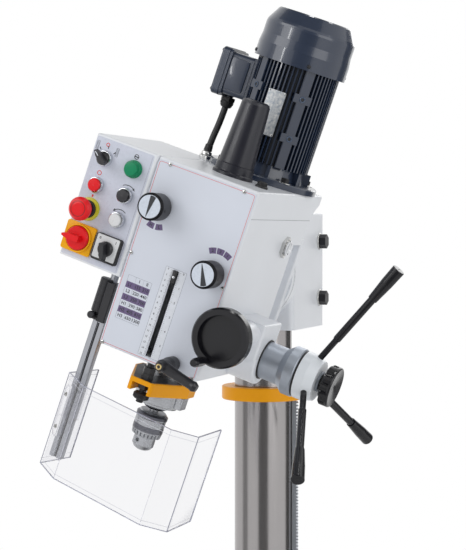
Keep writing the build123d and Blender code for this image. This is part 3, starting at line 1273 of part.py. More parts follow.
for jaw in range(3):
    turn = 2 * pi / 3 * jaw + radians(chuck_turn)
    with BuildPart() as chuck_jaw:
        start, along = jaw_axis(turn)
        drum(jaw_diameter, start, along, jaw_length)
        with Locations(Location((0, 0, 0), (0, 0, degrees(turn)))):
            with Locations((jaw_grip - 20, 0, jaw_tip)):
                Box(40, 20, 80, mode=Mode.SUBTRACT)
        section = Plane(origin=(0, 0, jaw_tip), x_dir=(cos(turn), sin(turn), 0), z_dir=up)
        for side in (-1, 1):
            flank = side * (jaw_flat + jaw_diameter * tan(radians(60)))
            extrude(outline([(jaw_grip, side * jaw_flat), (jaw_grip + jaw_diameter, flank),
                             (jaw_grip, flank)], section),
                    amount=jaw_length, both=True, mode=Mode.SUBTRACT)
    save(chuck_jaw, f"chuck_jaw_{jaw + 1}", chuck_place)

# Depth stop: yellow arm clamped on the quill, threaded rod with nuts, thumb nut and pointer
with BuildPart() as stop_bracket:
    front_half, wide = stop_front_width / 2, stop_width / 2
    with BuildSketch(Plane((0, 0, stop_bottom))):
        with BuildLine():
            Polyline((-front_half, stop_front), (front_half, stop_front), (wide, spindle_y - 12),
                     (wide, spindle_y + 20), (-wide, spindle_y + 20), (-wide, spindle_y - 12), close=True)
        make_face()
        with Locations((0, spindle_y)):
            Circle(wide)
    extrude(amount=stop_height)
    fillet(stop_bracket.edges().filter_by(Axis.Z).sort_by(Axis.Y)[:2], 6)
    fillet(stop_bracket.faces().sort_by(Axis.Z)[-1].edges(), 1.5)
    drum(quill_diameter + 2 * running, (*guide_axis, stop_bottom - 1), up, stop_height + 2, Mode.SUBTRACT)
    drum(stop_rod_diameter + 2 * running, (0, stop_rod_y, stop_bottom - 1), up, stop_height + 2,
         Mode.SUBTRACT)
    slab((-front_half + stop_cheek, stop_front - 1, stop_bottom - 1),
         (front_half - stop_cheek, spindle_y - quill_diameter / 2 - 10, stop_top - stop_plate),
         mode=Mode.SUBTRACT)
save(stop_bracket, "stop_bracket", head_place)

with BuildPart() as stop_rod:
    rod_low = stop_bottom - 2 - stop_knob_height - 6
    pointer_top = scale_slot_top - pointer_drop
    drum(stop_rod_diameter, (0, stop_rod_y, rod_low), up, pointer_top + 5 - rod_low)
    hexagon(stop_nut_flats, (0, stop_rod_y, stop_top - stop_plate), (0, 0, -1), stop_nut_height)
    hexagon(stop_nut_flats, (0, stop_rod_y, stop_top), up, stop_nut_height)
    hexagon(stop_nut_flats, (0, stop_rod_y, stop_top + stop_nut_height + 0.5), up, stop_nut_height)
    knob_half = stop_knob_diameter / 2
    spin([(0, 0), (knob_half - 2, 0), (knob_half, 2), (knob_half, stop_knob_height - 2),
          (knob_half - 2, stop_knob_height), (0, stop_knob_height)],
         (0, stop_rod_y, stop_bottom - 2 - stop_knob_height))
    slab((-scale_slot_width / 2 + 1, plate_front - 4, pointer_top - pointer_height),
         (scale_slot_width / 2 - 1, stop_rod_y, pointer_top))
save(stop_rod, "stop_rod", head_place)

with BuildPart() as quill_lock:
    lock_start = plate_front - passing
    reach = lock_start - lock_front
    spin([(0, 0), (11, 0), (13, 4), (13, reach - 40), (11.5, reach - 30), (11, reach - 12), (8.5, reach - 5),
          (7.5, reach - 1), (6.5, reach), (0, reach)], (lock_x, lock_start, lock_height), front, right)
    drum(lock_stud_diameter, (lock_x, lock_start, lock_height), back, lock_boss_front + 22 - lock_start)
    hang = radians(-lock_drop)
    arm_way = (cos(hang), 0, sin(hang))
    spin([(0, 6), (10, 6), (8.5, 30), (8, lock_reach - 12), (9, lock_reach - 6), (6, lock_reach),
          (0, lock_reach)],
         (lock_x, lock_front + 17, lock_height), arm_way, front)
save(quill_lock, "quill_lock", head_place)

# Feed: pinion shaft across the head, capstan hub, levers, star knob
feed_start = (0, feed_y, feed_height)
nut_end = hub_end + hub_washer
with BuildPart() as feed_shaft:
    shaft, stud = feed_shaft_diameter / 2, 10.0
    spin([(0, -head_half + 2), (shaft, -head_half + 2), (shaft, hub_end), (stud, hub_end),
          (stud, star_start + star_stud), (0, star_start + star_stud)], feed_start, right, up)
    pinion = Plane(origin=(-16, feed_y, feed_height), x_dir=front, z_dir=right)
    with BuildSketch(pinion):
        Circle(feed_radius + 3)
        Circle(feed_radius - 1.25 * feed_module, mode=Mode.SUBTRACT)
    extrude(amount=32, mode=Mode.SUBTRACT)
    extrude(gear_face(feed_teeth, feed_module, pinion, 180 / feed_teeth), amount=32)
    drum(36, (hub_end + passing, feed_y, feed_height), right, nut_end - hub_end - passing)
save(feed_shaft, "feed_shaft", head_place)


def lever_axis(number):
    """Root point and direction of a feed lever, leaning outwards."""
    turn = radians(lever_turn + 120 * number)
    tilt = radians(lever_lean)
    return (lever_root, feed_y, feed_height), (sin(tilt), cos(tilt) * sin(turn), cos(tilt) * cos(turn))


with BuildPart() as capstan_hub:
    rim, face, bore = hub_diameter / 2, hub_face_diameter / 2, feed_shaft_diameter / 2 + running
    spin([(bore, clutch_ring_end + passing), (rim - 4, clutch_ring_end + passing), (rim - 4, hub_start),
          (rim, hub_start), (rim, hub_end - hub_taper), (face, hub_end), (bore, hub_end)], feed_start, right, up)
    for number in range(3):
        root, along = lever_axis(number)
        socket = tuple(r + 28 * a for r, a in zip(root, along))
        drum(lever_shank_diameter + 2 * running, socket, along, 40, Mode.SUBTRACT)
save(capstan_hub, "capstan_hub", head_place)

with BuildPart() as feed_levers:
    thin, thick, tip = lever_shank_diameter / 2, lever_diameter / 2, lever_tip_diameter / 2
    grip = lever_reach - lever_grip_length
    for number in range(3):
        root, along = lever_axis(number)
        spin([(0, 29), (thin, 29), (thin, lever_neck), (thick, lever_neck + 3), (thick, grip), (thick + 1.5, grip),
              (tip - 0.6, grip + 0.55 * lever_grip_length), (tip, lever_reach - 1.2), (tip - 1.2, lever_reach),
              (0, lever_reach)], root, along, right if number else front)
save(feed_levers, "feed_levers", head_place)

with BuildPart() as star_knob:
    core, neck = star_diameter / 2, star_neck_diameter / 2
    star_end = star_start + star_thickness
    spin([(0, nut_end + passing), (neck, nut_end + passing), (neck, star_start), (core - 3, star_start),
          (core, star_start + 3), (core, star_end - 2.5), (core - 0.8, star_end - 0.8), (core - 2.5, star_end),
          (0, star_end - star_dish)], feed_start, right, up)
    with BuildSketch(Plane(origin=(star_start - 0.5, feed_y, feed_height), x_dir=back, z_dir=right)):
        with PolarLocations(core + 0.4 * star_hollow, star_lobes):
            Circle(star_hollow)
    extrude(amount=star_thickness - star_rim, mode=Mode.SUBTRACT)
    drum(20 + 2 * running, (nut_end, feed_y, feed_height), right, star_start + star_stud + passing - nut_end,
         Mode.SUBTRACT)
save(star_knob, "star_knob", head_place)

# Clutch sleeve: worm wheel inside the feed box, steel cone and ring towards the hub
with BuildPart() as clutch_sleeve:
    body, ring, bore = clutch_diameter / 2, clutch_ring_diameter / 2, feed_shaft_diameter / 2 + running
    spin([(bore, head_half - head_wall + 1), (body, head_half - head_wall + 1), (body, clutch_cone_start),
          (ring, clutch_ring_start), (ring, clutch_ring_end - 2), (ring - 2, clutch_ring_end),
          (bore, clutch_ring_end)],
         feed_start, right, up)
    with BuildSketch(Plane(origin=(wheel_x - 12, feed_y, feed_height), x_dir=back, z_dir=right)):
        with PolarLocations(body, worm_wheel_teeth):
            Rectangle(5, 3.2)
    extrude(amount=24, mode=Mode.SUBTRACT)
save(clutch_sleeve, "clutch_sleeve", head_place)

# Fine-feed handwheel on the worm's shaft, and its revolving handle
worm_start = feed_y + worm_length / 2
boss_end = wheel_front + wheel_thickness + 12
handle_turn = radians(wheel_handle_turn)
handle_x = wheel_x + wheel_handle_radius * sin(handle_turn)
handle_z = wheel_height + wheel_handle_radius * cos(handle_turn)
with BuildPart() as fine_feed_wheel:
    worm, shaft, rim = worm_diameter / 2, worm_shaft_diameter / 2, wheel_diameter / 2
    front_at = worm_start - wheel_front
    back_at = front_at - wheel_thickness
    hub_at = worm_start - boss_end + passing
    dish = rim - wheel_rim
    spin([(0, 0), (worm, 0), (worm, worm_length), (shaft, worm_length), (shaft, hub_at), (16, hub_at),
          (18, back_at),
          (rim - 4, back_at), (rim, back_at + 4), (rim, front_at - 4), (rim - 3, front_at), (dish, front_at),
          (dish - 2, front_at - wheel_dish), (0, front_at - wheel_dish)],
         (wheel_x, worm_start, wheel_height), front, right)
    drum(7 + 2 * running, (handle_x, wheel_front - 1, handle_z), back, 17, Mode.SUBTRACT)
save(fine_feed_wheel, "fine_feed_wheel", head_place)

with BuildPart() as fine_feed_handle:
    spin([(0, -14), (3.5, -14), (3.5, 0), (5, 0), (6.2, 4), (8, 24), (7.6, wheel_handle_length - 8),
          (6, wheel_handle_length - 1), (5, wheel_handle_length), (0, wheel_handle_length)],
         (handle_x, wheel_front - passing, handle_z), front, right)
save(fine_feed_handle, "fine_feed_handle", head_place)

# Return spring: flat strip coiled round the feed shaft
spring_start = -head_half + head_wall + 22
with BuildPart() as return_spring:
    with BuildSketch(Plane(origin=(spring_start, feed_y, feed_height), x_dir=back, z_dir=right)):
        for half_turn in range(2 * spring_turns):
            odd = half_turn % 2
            centre = (odd * spring_pitch / 2, 0)
            radius = feed_shaft_diameter / 2 + running + half_turn * spring_pitch / 2
            with BuildLine():
                inner = CenterArc(centre, radius, 180 * odd, 180)
                outer = CenterArc(centre, radius + spring_strip, 180 * odd, 180)
                Line(inner @ 0, outer @ 0)
                Line(inner @ 1, outer @ 1)
            make_face()
    extrude(amount=spring_width)
save(return_spring, "return_spring", head_place)

# Guard: switch block under the control box, swinging post, bent clear sheet in its holder
with BuildPart() as guard_switch:
    body_x, body_y, body_half = post_x - switch_body_offset, post_y - 4, switch_body_diameter / 2
    body_low = switch_bottom + 14
    sleeve = [(0, body_low), (body_half, body_low)]
    for seam in (0.26, 0.5, 0.74):
        height = body_low + seam * (switch_top - body_low)
        sleeve += [(body_half, height - 0.6), (body_half - 0.7, height - 0.6),
                   (body_half - 0.7, height + 0.6), (body_half, height + 0.6)]
    spin(sleeve + [(body_half, switch_top - 1.5), (body_half - 1.5, switch_top), (0, switch_top)],
         (body_x, body_y, 0))
    box_left_edge = post_x - switch_box_width / 5
    slab((box_left_edge, body_y - switch_depth / 2 + 2, switch_bottom),
         (box_left_edge + switch_box_width, body_y + switch_depth / 2, switch_top - 4), 2)
    slab((body_x - 8, body_y - 8, switch_bottom), (box_left_edge + 2, body_y + 12, body_low + 1), 2)
    drum(switch_rod_diameter, (post_x, post_y, switch_top - 12), up, box_bottom - switch_top + 12)
    spin([(0, -2), (5, -2), (5, 3), (6.5, 5), (6.5, 12), (5, 13.5), (0, 13.5)],
         (body_x - 3, body_y - 8, switch_bottom + 8), front, right)
    drum(pivot_diameter + 2 * running, (post_x, post_y, switch_bottom - 1), up, 31, Mode.SUBTRACT)
save(guard_switch, "guard_switch", head_place)

with BuildPart() as guard_post:
    with BuildSketch(Plane((post_x, post_y, post_bottom))):
        RectangleRounded(post_width, post_depth, 2)
        for side in (-1, 1):
            with Locations((0, side * post_depth / 2)):
                Rectangle(5, 6, mode=Mode.SUBTRACT)
    extrude(amount=switch_bottom - passing - post_bottom)
    drum(pivot_diameter, (post_x, post_y, switch_bottom - 4), up, 32)
save(guard_post, "guard_post", head_place)

with BuildPart() as guard_shield:
    with BuildSketch(Plane((0, 0, shield_bottom))):
        with BuildLine():
            FilletPolyline(*shield_plan, radius=9)
            offset(amount=shield_thickness, side=Side.RIGHT)
        make_face()
    extrude(amount=shield_top - shield_bottom)
    holder_x, holder_y = post_width / 2 + passing + holder_wall, post_depth / 2 + passing + holder_wall
    slab((shield_plan[1][0] - 1, post_y - holder_y, shield_top - 78),
         (post_x + holder_x, post_y + holder_y, shield_top - 14), 2)
    slab((post_x - post_width / 2 - passing, post_y - post_depth / 2 - passing, shield_bottom),
         (post_x + post_width / 2 + passing, post_y + post_depth / 2 + passing, shield_top),
         mode=Mode.SUBTRACT)
    corner, next_corner = Vector(*shield_plan[1]), Vector(*shield_plan[2])
    facet = (next_corner - corner).normalized()
    outside = Vector(facet.Y, -facet.X)
    centre = corner + facet * 26 + outside * shield_thickness
    plate = Plane(origin=(centre.X, centre.Y, shield_top - 62), x_dir=tuple(facet), z_dir=tuple(outside))
    with BuildSketch(plate):
        with BuildLine():
            Polyline((-11, -38), (-5, -46), (5, -46), (11, -38), (11, 38), (5, 46), (-5, 46), (-11, 38),
                     close=True)
        make_face()
    extrude(amount=4)
save(guard_shield, "guard_shield", head_place)
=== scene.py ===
from functools import cache
from math import atan2, cos, pi, radians, sin, sqrt, tau

import bmesh
import bpy
from bpy.props import FloatProperty, FloatVectorProperty, IntProperty, PointerProperty
from mathutils import Matrix, Vector


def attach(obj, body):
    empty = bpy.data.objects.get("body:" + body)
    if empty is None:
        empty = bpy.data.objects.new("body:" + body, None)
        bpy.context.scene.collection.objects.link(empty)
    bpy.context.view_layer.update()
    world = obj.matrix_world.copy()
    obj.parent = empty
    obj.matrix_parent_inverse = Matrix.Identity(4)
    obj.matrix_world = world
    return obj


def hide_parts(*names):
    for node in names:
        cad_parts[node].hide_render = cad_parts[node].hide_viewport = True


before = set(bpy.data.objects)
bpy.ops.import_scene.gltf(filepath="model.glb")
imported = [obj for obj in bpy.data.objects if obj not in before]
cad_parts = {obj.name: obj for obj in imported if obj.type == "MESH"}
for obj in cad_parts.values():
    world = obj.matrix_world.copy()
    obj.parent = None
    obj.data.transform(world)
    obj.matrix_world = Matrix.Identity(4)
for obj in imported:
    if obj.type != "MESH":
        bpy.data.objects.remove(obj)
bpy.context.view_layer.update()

bl_info = {
    "name": "Geared drill press",
    "version": (1, 0, 0),
    "blender": (4, 5, 0),
    "location": "3D View > Sidebar > Drill press",
    "description": "Finishes, prints, fasteners and trim of a geared drill press round its packed model",
    "category": "Object",
}

# Millimetres to metres, and the head's own upright frame: origin on the tilt axis, Z up the spindle
MM = 0.001
HEAD_TILT = radians(19.69)
TILT_HEIGHT = 1.640
HERE = Matrix.Identity(4)
STAND = Matrix.Scale(MM, 4)
HEAD = Matrix.Translation((0, 0, TILT_HEIGHT)) @ Matrix.Rotation(HEAD_TILT, 4, "Y") @ STAND
X, Y, Z = Vector((1, 0, 0)), Vector((0, 1, 0)), Vector((0, 0, 1))
CORNERS = ((-1, -1), (-1, 1), (1, -1), (1, 1))

# Places on the head, in millimetres of that frame
PLATE_FACE = -453.0
BOX_FACE = -450.0
KNOB_FACE = -499.3
MOTOR = Vector((0, -184, 0))
SPINDLE = Vector((0, -340, 0))
STOP_ROD = Vector((0, -425, 0))
FEED = Vector((0, -289.5, -104))
LEFT_COLUMN, RIGHT_COLUMN = -186, -130
ROWS = (143, 96, 53, 1)

# Thickness of a print, weight of its strokes, and the angles in degrees past which an edge is sharp
FILM = 0.12
STROKE = 0.018
CREASE, HEX_CREASE = 35, 20


def screen(red, green, blue):
    """A colour given in screen levels, 0 to 255, as linear light."""
    levels = (level / 255 for level in (red, green, blue))
    return tuple(v / 12.92 if v <= 0.04045 else ((v + 0.055) / 1.055) ** 2.4 for v in levels)


def polar(far, turn):
    """A point at a distance, turned anticlockwise from right."""
    return far * cos(turn), far * sin(turn)


def at(*spot):
    """An upright frame at a point."""
    return Matrix.Translation(spot)


def face(origin, right, up):
    """A frame on a surface: right and up along it, and its third axis standing off it."""
    right, up = Vector(right).normalized(), Vector(up).normalized()
    return Matrix.Translation(origin) @ Matrix((right, up, right.cross(up))).transposed().to_4x4()


def front(x, z, y=PLATE_FACE):
    """A frame on the head's front, standing off towards the operator."""
    return face((x, y, z), X, Z)


def panel(x, z):
    """A frame on the control box's front."""
    return front(x, z, BOX_FACE)


def axis_frame(origin, along):
    """A frame whose third axis runs along a direction."""
    turn = Vector(along).normalized().to_track_quat("Z", "Y")
    return Matrix.Translation(origin) @ turn.to_matrix().to_4x4()


def linked(name, data):
    """A new object in the scene."""
    thing = bpy.data.objects.new(name, data)
    bpy.context.scene.collection.objects.link(thing)
    return thing


# Node trees


def math_node(operation, reflected=False):
    """The method behind an operator, which adds a Math node."""
    def method(self, other):
        first, second = (other, self) if reflected else (self, other)
        return self.nodes.add("ShaderNodeMath", {0: first, 1: second}, operation=operation)
    return method


class Value:
    """An output of a node; sums, differences and products of values add Math nodes."""

    def __init__(self, nodes, socket):
        self.nodes, self.socket = nodes, socket

    __add__, __radd__ = math_node("ADD"), math_node("ADD", True)
    __sub__, __rsub__ = math_node("SUBTRACT"), math_node("SUBTRACT", True)
    __mul__, __rmul__ = math_node("MULTIPLY"), math_node("MULTIPLY", True)


class Nodes:
    """A node tree that is filled by one method."""

    def __init__(self, tree):
        self.tree = tree

    def add(self, kind, inputs=None, output=0, **settings):
        """Add a node of a type, set it up, fill its inputs and give one output back."""
        node = self.tree.nodes.new(kind)
        for name, setting in settings.items():
            setattr(node, name, setting)
        for name, value in (inputs or {}).items():
            if isinstance(value, Value):
                self.tree.links.new(value.socket, node.inputs[name])
            else:
                node.inputs[name].default_value = value
        return Value(self, node.outputs[output]) if len(node.outputs) else None


class Finish(Nodes):
    """A material whose colour, roughness and relief come from its nodes, in millimetres."""

    def __init__(self, name, tilted=True, **fixed):
        self.material = bpy.data.materials.new(name)
        self.material.use_nodes = True
        super().__init__(self.material.node_tree)
        self.shader = self.tree.nodes["Principled BSDF"]
        for socket, value in fixed.items():
            self.shader.inputs[socket.replace("_", " ")].default_value = value
        spot = self.add("ShaderNodeTexCoord", output="Object")
        self.spot = self.add("ShaderNodeMapping", {
            "Vector": spot, "Scale": (MM, MM, MM), "Location": (0, 0, TILT_HEIGHT * tilted),
            "Rotation": (0, HEAD_TILT * tilted, 0)}, vector_type="TEXTURE")

    def feed(self, socket, value):
        """Link a value to one of the shader's sockets."""
        self.tree.links.new(value.socket, self.shader.inputs[socket])

    def show(self, shader):
        """Make another shader the surface."""
        self.tree.links.new(shader.socket, self.tree.nodes["Material Output"].inputs["Surface"])

    def noise(self, size, detail=2.0, stretch=(1, 1, 1)):
        """Cloudy values about a half, whose features have a size; stretch squeezes them along an axis."""
        grid = self.add("ShaderNodeVectorMath", {0: self.spot, 1: tuple(part / size for part in stretch)},
                        operation="MULTIPLY")
        return self.add("ShaderNodeTexNoise", {"Vector": grid, "Scale": 1.0, "Detail": detail})

    def blend(self, share, first, second):
        """Mix two colours."""
        return self.add("ShaderNodeMix", {0: share, 6: first, 7: second}, 2, data_type="RGBA")

    def tone(self, colour, share, low, high):
        """Feed the base colour between two brightnesses of one colour."""
        dark, light = ((*(min(part * level, 1) for part in colour), 1) for level in (low, high))
        self.feed("Base Color", self.blend(share, dark, light))

    def relief(self, height, depth):
        """Raise the surface by a height value times a depth."""
        bump = self.add("ShaderNodeBump", {"Height": height, "Distance": depth * MM, "Strength": 0.5})
        self.feed("Normal", bump)


def coated(name, colour, roughness, cloud, swing, low, high, grain, depth, tilted=True, **fixed):
    """A clouded finish, whose roughness swings with the cloud, under a fine grain."""
    finish = Finish(name, tilted, **fixed)
    mottle = finish.noise(*cloud)
    finish.tone(colour, mottle, low, high)
    finish.feed("Roughness", mottle * swing + (roughness - swing / 2))
    finish.relief(finish.noise(grain), depth)


def painted(name, colour, roughness=0.3, peel=0.06, tilted=True, shift=0.05, **fixed):
    """Sprayed paint: faint clouding, fine orange peel."""
    coated(name, colour, roughness, (120, 3), 0.14, 1 - shift, 1 + shift, 1.8, peel, tilted, **fixed)


def moulded(name, colour, roughness=0.42, grain=0.05, size=0.7, shift=0.12, **fixed):
    """Moulded plastic: fine grain and a slight bloom."""
    coated(name, colour, roughness, (35, 3), 0.2, 1 - shift, 1 + shift, size, grain, **fixed)


def blackened(name, colour, roughness=0.38):
    """Oxide-blacked steel: dark, slightly mottled, semi-metallic."""
    coated(name, colour, roughness, (14, 4), 0.2, 0.75, 1.3, 0.9, 0.03, Metallic=0.55)


def machined(name, colour, roughness, lines, tilted=True, shift=0.15, depth=0.02):
    """Bare metal with tool marks; lines gives how fine the marks are along each axis."""
    finish = Finish(name, tilted, Metallic=1.0)
    marks = finish.noise(1.0, 3, lines)
    finish.tone(colour, marks * 0.6 + finish.noise(60, 3) * 0.4, 1 - shift, 1 + shift)
    finish.feed("Roughness", marks * 0.16 + (roughness - 0.08))
    finish.relief(marks, depth)


def printed(name, colour, roughness=0.35):
    """Screen-printed ink or film with a faint mottle."""
    finish = Finish(name)
    finish.tone(colour, finish.noise(6, 3), 0.9, 1.08)
    finish.feed("Roughness", finish.noise(3) * 0.16 + (roughness - 0.08))


# Shapes


def rounded(width, height, radius, steps=5, x=0.0, y=0.0):
    """The outline of a rectangle with rounded corners."""
    points = []
    for corner, (side, rise) in enumerate(((1, 1), (-1, 1), (-1, -1), (1, -1))):
        for step in range(steps + 1):
            across, up = polar(radius, pi / 2 * (corner + step / steps))
            points.append((x + side * (width / 2 - radius) + across, y + rise * (height / 2 - radius) + up))
    return points


def circle(radius, steps):
    """The outline of a circle or regular polygon."""
    return [polar(radius, tau * step / steps) for step in range(steps)]


def sector(inner, outer, middle, spread, steps=8):
    """The outline of a piece of a ring; angles in degrees from right, anticlockwise."""
    turns = [radians(middle + spread * (step / steps - 0.5)) for step in range(steps + 1)]
    return [polar(outer, turn) for turn in turns] + [polar(inner, turn) for turn in reversed(turns)]


class Shape:
    """A mesh in the making, in millimetres."""

    def __init__(self):
        self.mesh = bmesh.new()

    def ring(self, place, outline, height):
        """The points of an outline at one height over a frame."""
        return [self.mesh.verts.new(place @ Vector((x, y, height))) for x, y in outline]

    def skin(self, low, high):
        """Join two rings of points, or a ring and a single point, with faces."""
        count = max(len(low), len(high))
        for step in range(count):
            after = (step + 1) % count
            corners = (low[step % len(low)], low[after % len(low)],
                       high[after % len(high)], high[step % len(high)])
            self.mesh.faces.new(list(dict.fromkeys(corners)))

    def skins(self, rings, closed):
        """Join a row of rings, and where it is closed the last to the first."""
        for low, high in zip(rings, rings[1:] + (rings[:1] if closed else [])):
            self.skin(low, high)
        return self

    def lathe(self, profile, place=HERE, steps=48):
        """Turn a (radius, height) profile about a frame's third axis; one off the axis closes on itself."""
        rings = [self.ring(place, circle(radius, steps) if radius else [(0, 0)], height)
                 for radius, height in profile]
        return self.skins(rings, profile[0][0] > 0)

    def prism(self, outline, place=HERE, low=0.0, high=FILM):
        """Extrude an outline between two heights over a frame."""
        bottom, top = (self.ring(place, outline, height) for height in (low, high))
        self.mesh.faces.new(bottom[::-1])
        self.mesh.faces.new(top)
        self.skin(bottom, top)
        return self

    def band(self, outer, inner, place, low=0.0, high=FILM):
        """Extrude the strip between two outlines of equally many points."""
        edges = ((outer, low), (outer, high), (inner, high), (inner, low))
        return self.skins([self.ring(place, outline, height) for outline, height in edges], True)

    def block(self, low, high):
        """An upright block between two corners."""
        middle, (wide, deep, tall) = (Vector(low) + Vector(high)) / 2, (Vector(high) - Vector(low)) / 2
        outline = [(-wide, -deep), (wide, -deep), (wide, deep), (-wide, deep)]
        return self.prism(outline, at(*middle), -tall, tall)

    def words(self, text, size, place, turn=0.0):
        """Flat raised characters, centred on a frame."""
        curve = bpy.data.curves.new("characters", "FONT")
        curve.body, curve.size = text, size
        curve.align_x, curve.align_y = "CENTER", "CENTER"
        curve.extrude, curve.resolution_u, curve.offset = FILM / 2, 2, size * STROKE
        holder = bpy.data.objects.new("characters", curve)
        flat = bpy.data.meshes.new_from_object(holder)
        flat.transform(place @ Matrix.Rotation(turn, 4, "Z") @ at(0, 0, FILM / 2))
        self.mesh.from_mesh(flat)
        bpy.data.objects.remove(holder)
        bpy.data.curves.remove(curve)
        bpy.data.meshes.remove(flat)

    def plain(self, name):
        """The mesh itself, with faces turned outwards."""
        bmesh.ops.remove_doubles(self.mesh, verts=self.mesh.verts, dist=1e-4)
        bmesh.ops.recalc_face_normals(self.mesh, faces=self.mesh.faces)
        mesh = bpy.data.meshes.new(name)
        self.mesh.to_mesh(mesh)
        self.mesh.free()
        return mesh

    def made(self, name, finish, body="head", bevel=0.0, crease=CREASE, replaces=()):
        """The finished piece, riding on a body of the model."""
        mesh = self.plain(name)
        mesh.transform(HEAD)
        if bevel:
            worn = linked(name, mesh)
            edge = worn.modifiers.new("edge", "BEVEL")
            edge.width, edge.segments, edge.limit_method = bevel * MM, 2, "ANGLE"
            mesh = applied(worn)
        settled(mesh, name, finish, body, crease, replaces)


def turned(name, finish, place, profile, steps=48, **more):
    """A turned piece."""
    Shape().lathe(profile, place, steps).made(name, finish, **more)


def cut(name, finish, place, outline, low=0.0, high=FILM, **more):
    """A flat piece of one outline."""
    Shape().prism(outline, place, low, high).made(name, finish, **more)


def applied(thing):
    """The plain mesh of an object with its modifiers worked in; the object goes."""
    graph = bpy.context.evaluated_depsgraph_get()
    mesh = bpy.data.meshes.new_from_object(thing.evaluated_get(graph))
    bpy.data.objects.remove(thing)
    return mesh


def settled(mesh, name, finish, body, crease=CREASE, replaces=()):
    """Put a mesh into the scene as a piece that rides on a body."""
    mesh.name = name
    mesh.shade_smooth()
    mesh.set_sharp_from_angle(angle=radians(crease))
    mesh.materials.clear()
    mesh.materials.append(bpy.data.materials[finish])
    piece = linked(name, mesh)
    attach(piece, body)
    if replaces:
        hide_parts(*replaces)


# Geometry Nodes

SOCKETS = {"Count": "Int", "Turns": "Float", "Radius": "Float", "Height": "Float", "Ridge": "Float",
           "First turn": "Float", "Turn step": "Float", "Start": "Vector", "Step": "Vector",
           "Shape": "Object", "Finish": "Material"}


class Repeat(Nodes):
    """A Geometry Nodes tree with named inputs that ends in Realize Instances and Set Material."""

    def __init__(self, name, *inputs):
        super().__init__(bpy.data.node_groups.new(name, "GeometryNodeTree"))
        sockets, self.names = self.tree.interface, {}
        for way in ("INPUT", "OUTPUT"):
            sockets.new_socket("Geometry", in_out=way, socket_type="NodeSocketGeometry")
        for label in (*inputs, "Finish"):
            made = sockets.new_socket(label, in_out="INPUT", socket_type="NodeSocket" + SOCKETS[label])
            self.names[label] = made.identifier
        self.source = self.tree.nodes.new("NodeGroupInput")

    def given(self, label):
        """One of the tree's inputs."""
        return Value(self, self.source.outputs[label])

    def copies(self, points, rotation):
        """The chosen shape, once on every point."""
        shape = self.add("GeometryNodeObjectInfo", {"Object": self.given("Shape")}, "Geometry")
        return self.add("GeometryNodeInstanceOnPoints",
                        {"Points": points, "Instance": shape, "Rotation": rotation})

    def close(self, geometry):
        """End the tree in its finish."""
        real = self.add("GeometryNodeRealizeInstances", {"Geometry": geometry})
        done = self.add("GeometryNodeSetMaterial", {"Geometry": real, "Material": self.given("Finish")})
        self.add("NodeGroupOutput", {0: done})
        return self


@cache
def row_tree():
    """Copies of a shape along a straight line."""
    tree = Repeat("row of like shapes", "Shape", "Count", "Start", "Step")
    line = tree.add("GeometryNodeMeshLine", {
        "Count": tree.given("Count"), "Start Location": tree.given("Start"), "Offset": tree.given("Step")})
    return tree.close(tree.copies(line, (0, 0, 0)))


@cache
def circle_tree():
    """Copies of a shape round a circle, each turned to face outwards."""
    tree = Repeat("circle of like shapes", "Shape", "Count", "Radius", "First turn", "Turn step")
    line = tree.add("GeometryNodeMeshLine", {"Count": tree.given("Count"), "Offset": (0, 0, 0)})
    turn = tree.add("GeometryNodeInputIndex") * tree.given("Turn step") + tree.given("First turn")
    across, along = (tree.add("ShaderNodeMath", {0: turn}, operation=wave) * tree.given("Radius")
                     for wave in ("COSINE", "SINE"))
    spot = tree.add("ShaderNodeCombineXYZ", {"X": across, "Y": along})
    points = tree.add("GeometryNodeSetPosition", {"Geometry": line, "Position": spot})
    return tree.close(tree.copies(points, tree.add("ShaderNodeCombineXYZ", {"Z": turn})))


@cache
def places_tree():
    """Copies of a shape on given points, standing along each point's own direction."""
    tree = Repeat("shapes on places", "Shape")
    way = tree.add("GeometryNodeInputNamedAttribute", {"Name": "facing"}, data_type="FLOAT_VECTOR")
    stand = tree.add("FunctionNodeAlignRotationToVector", {"Vector": way}, axis="Z")
    return tree.close(tree.copies(tree.given("Geometry"), stand))


@cache
def thread_tree():
    """A ridge that winds round a rod."""
    tree = Repeat("thread on a rod", "Turns", "Radius", "Height", "Ridge")
    coil = tree.add("GeometryNodeCurveSpiral", {
        "Resolution": 20, "Rotations": tree.given("Turns"), "Start Radius": tree.given("Radius"),
        "End Radius": tree.given("Radius"), "Height": tree.given("Height")})
    wire = tree.add("GeometryNodeCurvePrimitiveCircle", {"Resolution": 5, "Radius": tree.given("Ridge")})
    return tree.close(tree.add("GeometryNodeCurveToMesh", {"Curve": coil, "Profile Curve": wire}))


def repeated(name, layout, finish, shape=None, body="head", place=HEAD, spots=(), crease=CREASE, **sizes):
    """Run one of the trees, in millimetres of a place, and settle its mesh as a piece."""
    tree = layout()
    carrier = bpy.data.meshes.new(name)
    carrier.from_pydata([spot for spot, way in spots], [], [])
    if spots:
        facing = carrier.attributes.new("facing", "FLOAT_VECTOR", "POINT")
        for entry, (spot, way) in zip(facing.data, spots):
            entry.vector = way
    holder = linked(name, carrier)
    if shape:
        sizes["Shape"] = linked(name + "_one", shape.plain(name + "_one"))
    sizes["Finish"] = bpy.data.materials[finish]
    grown = holder.modifiers.new("grown", "NODES")
    grown.node_group = tree.tree
    for label, size in sizes.items():
        grown[tree.names[label.replace("_", " ")]] = size
    mesh = applied(holder)
    mesh.transform(place)
    if shape:
        bpy.data.objects.remove(sizes["Shape"])
    settled(mesh, name, finish, body, crease)


def ringed(name, finish, shape, place, count, radius, body="head"):
    """Copies of a shape, evenly round a frame's third axis."""
    repeated(name, circle_tree, finish, shape, body, HEAD @ place, Count=count, Radius=radius,
             First_turn=0.0, Turn_step=tau / count)


# Sizes and colours


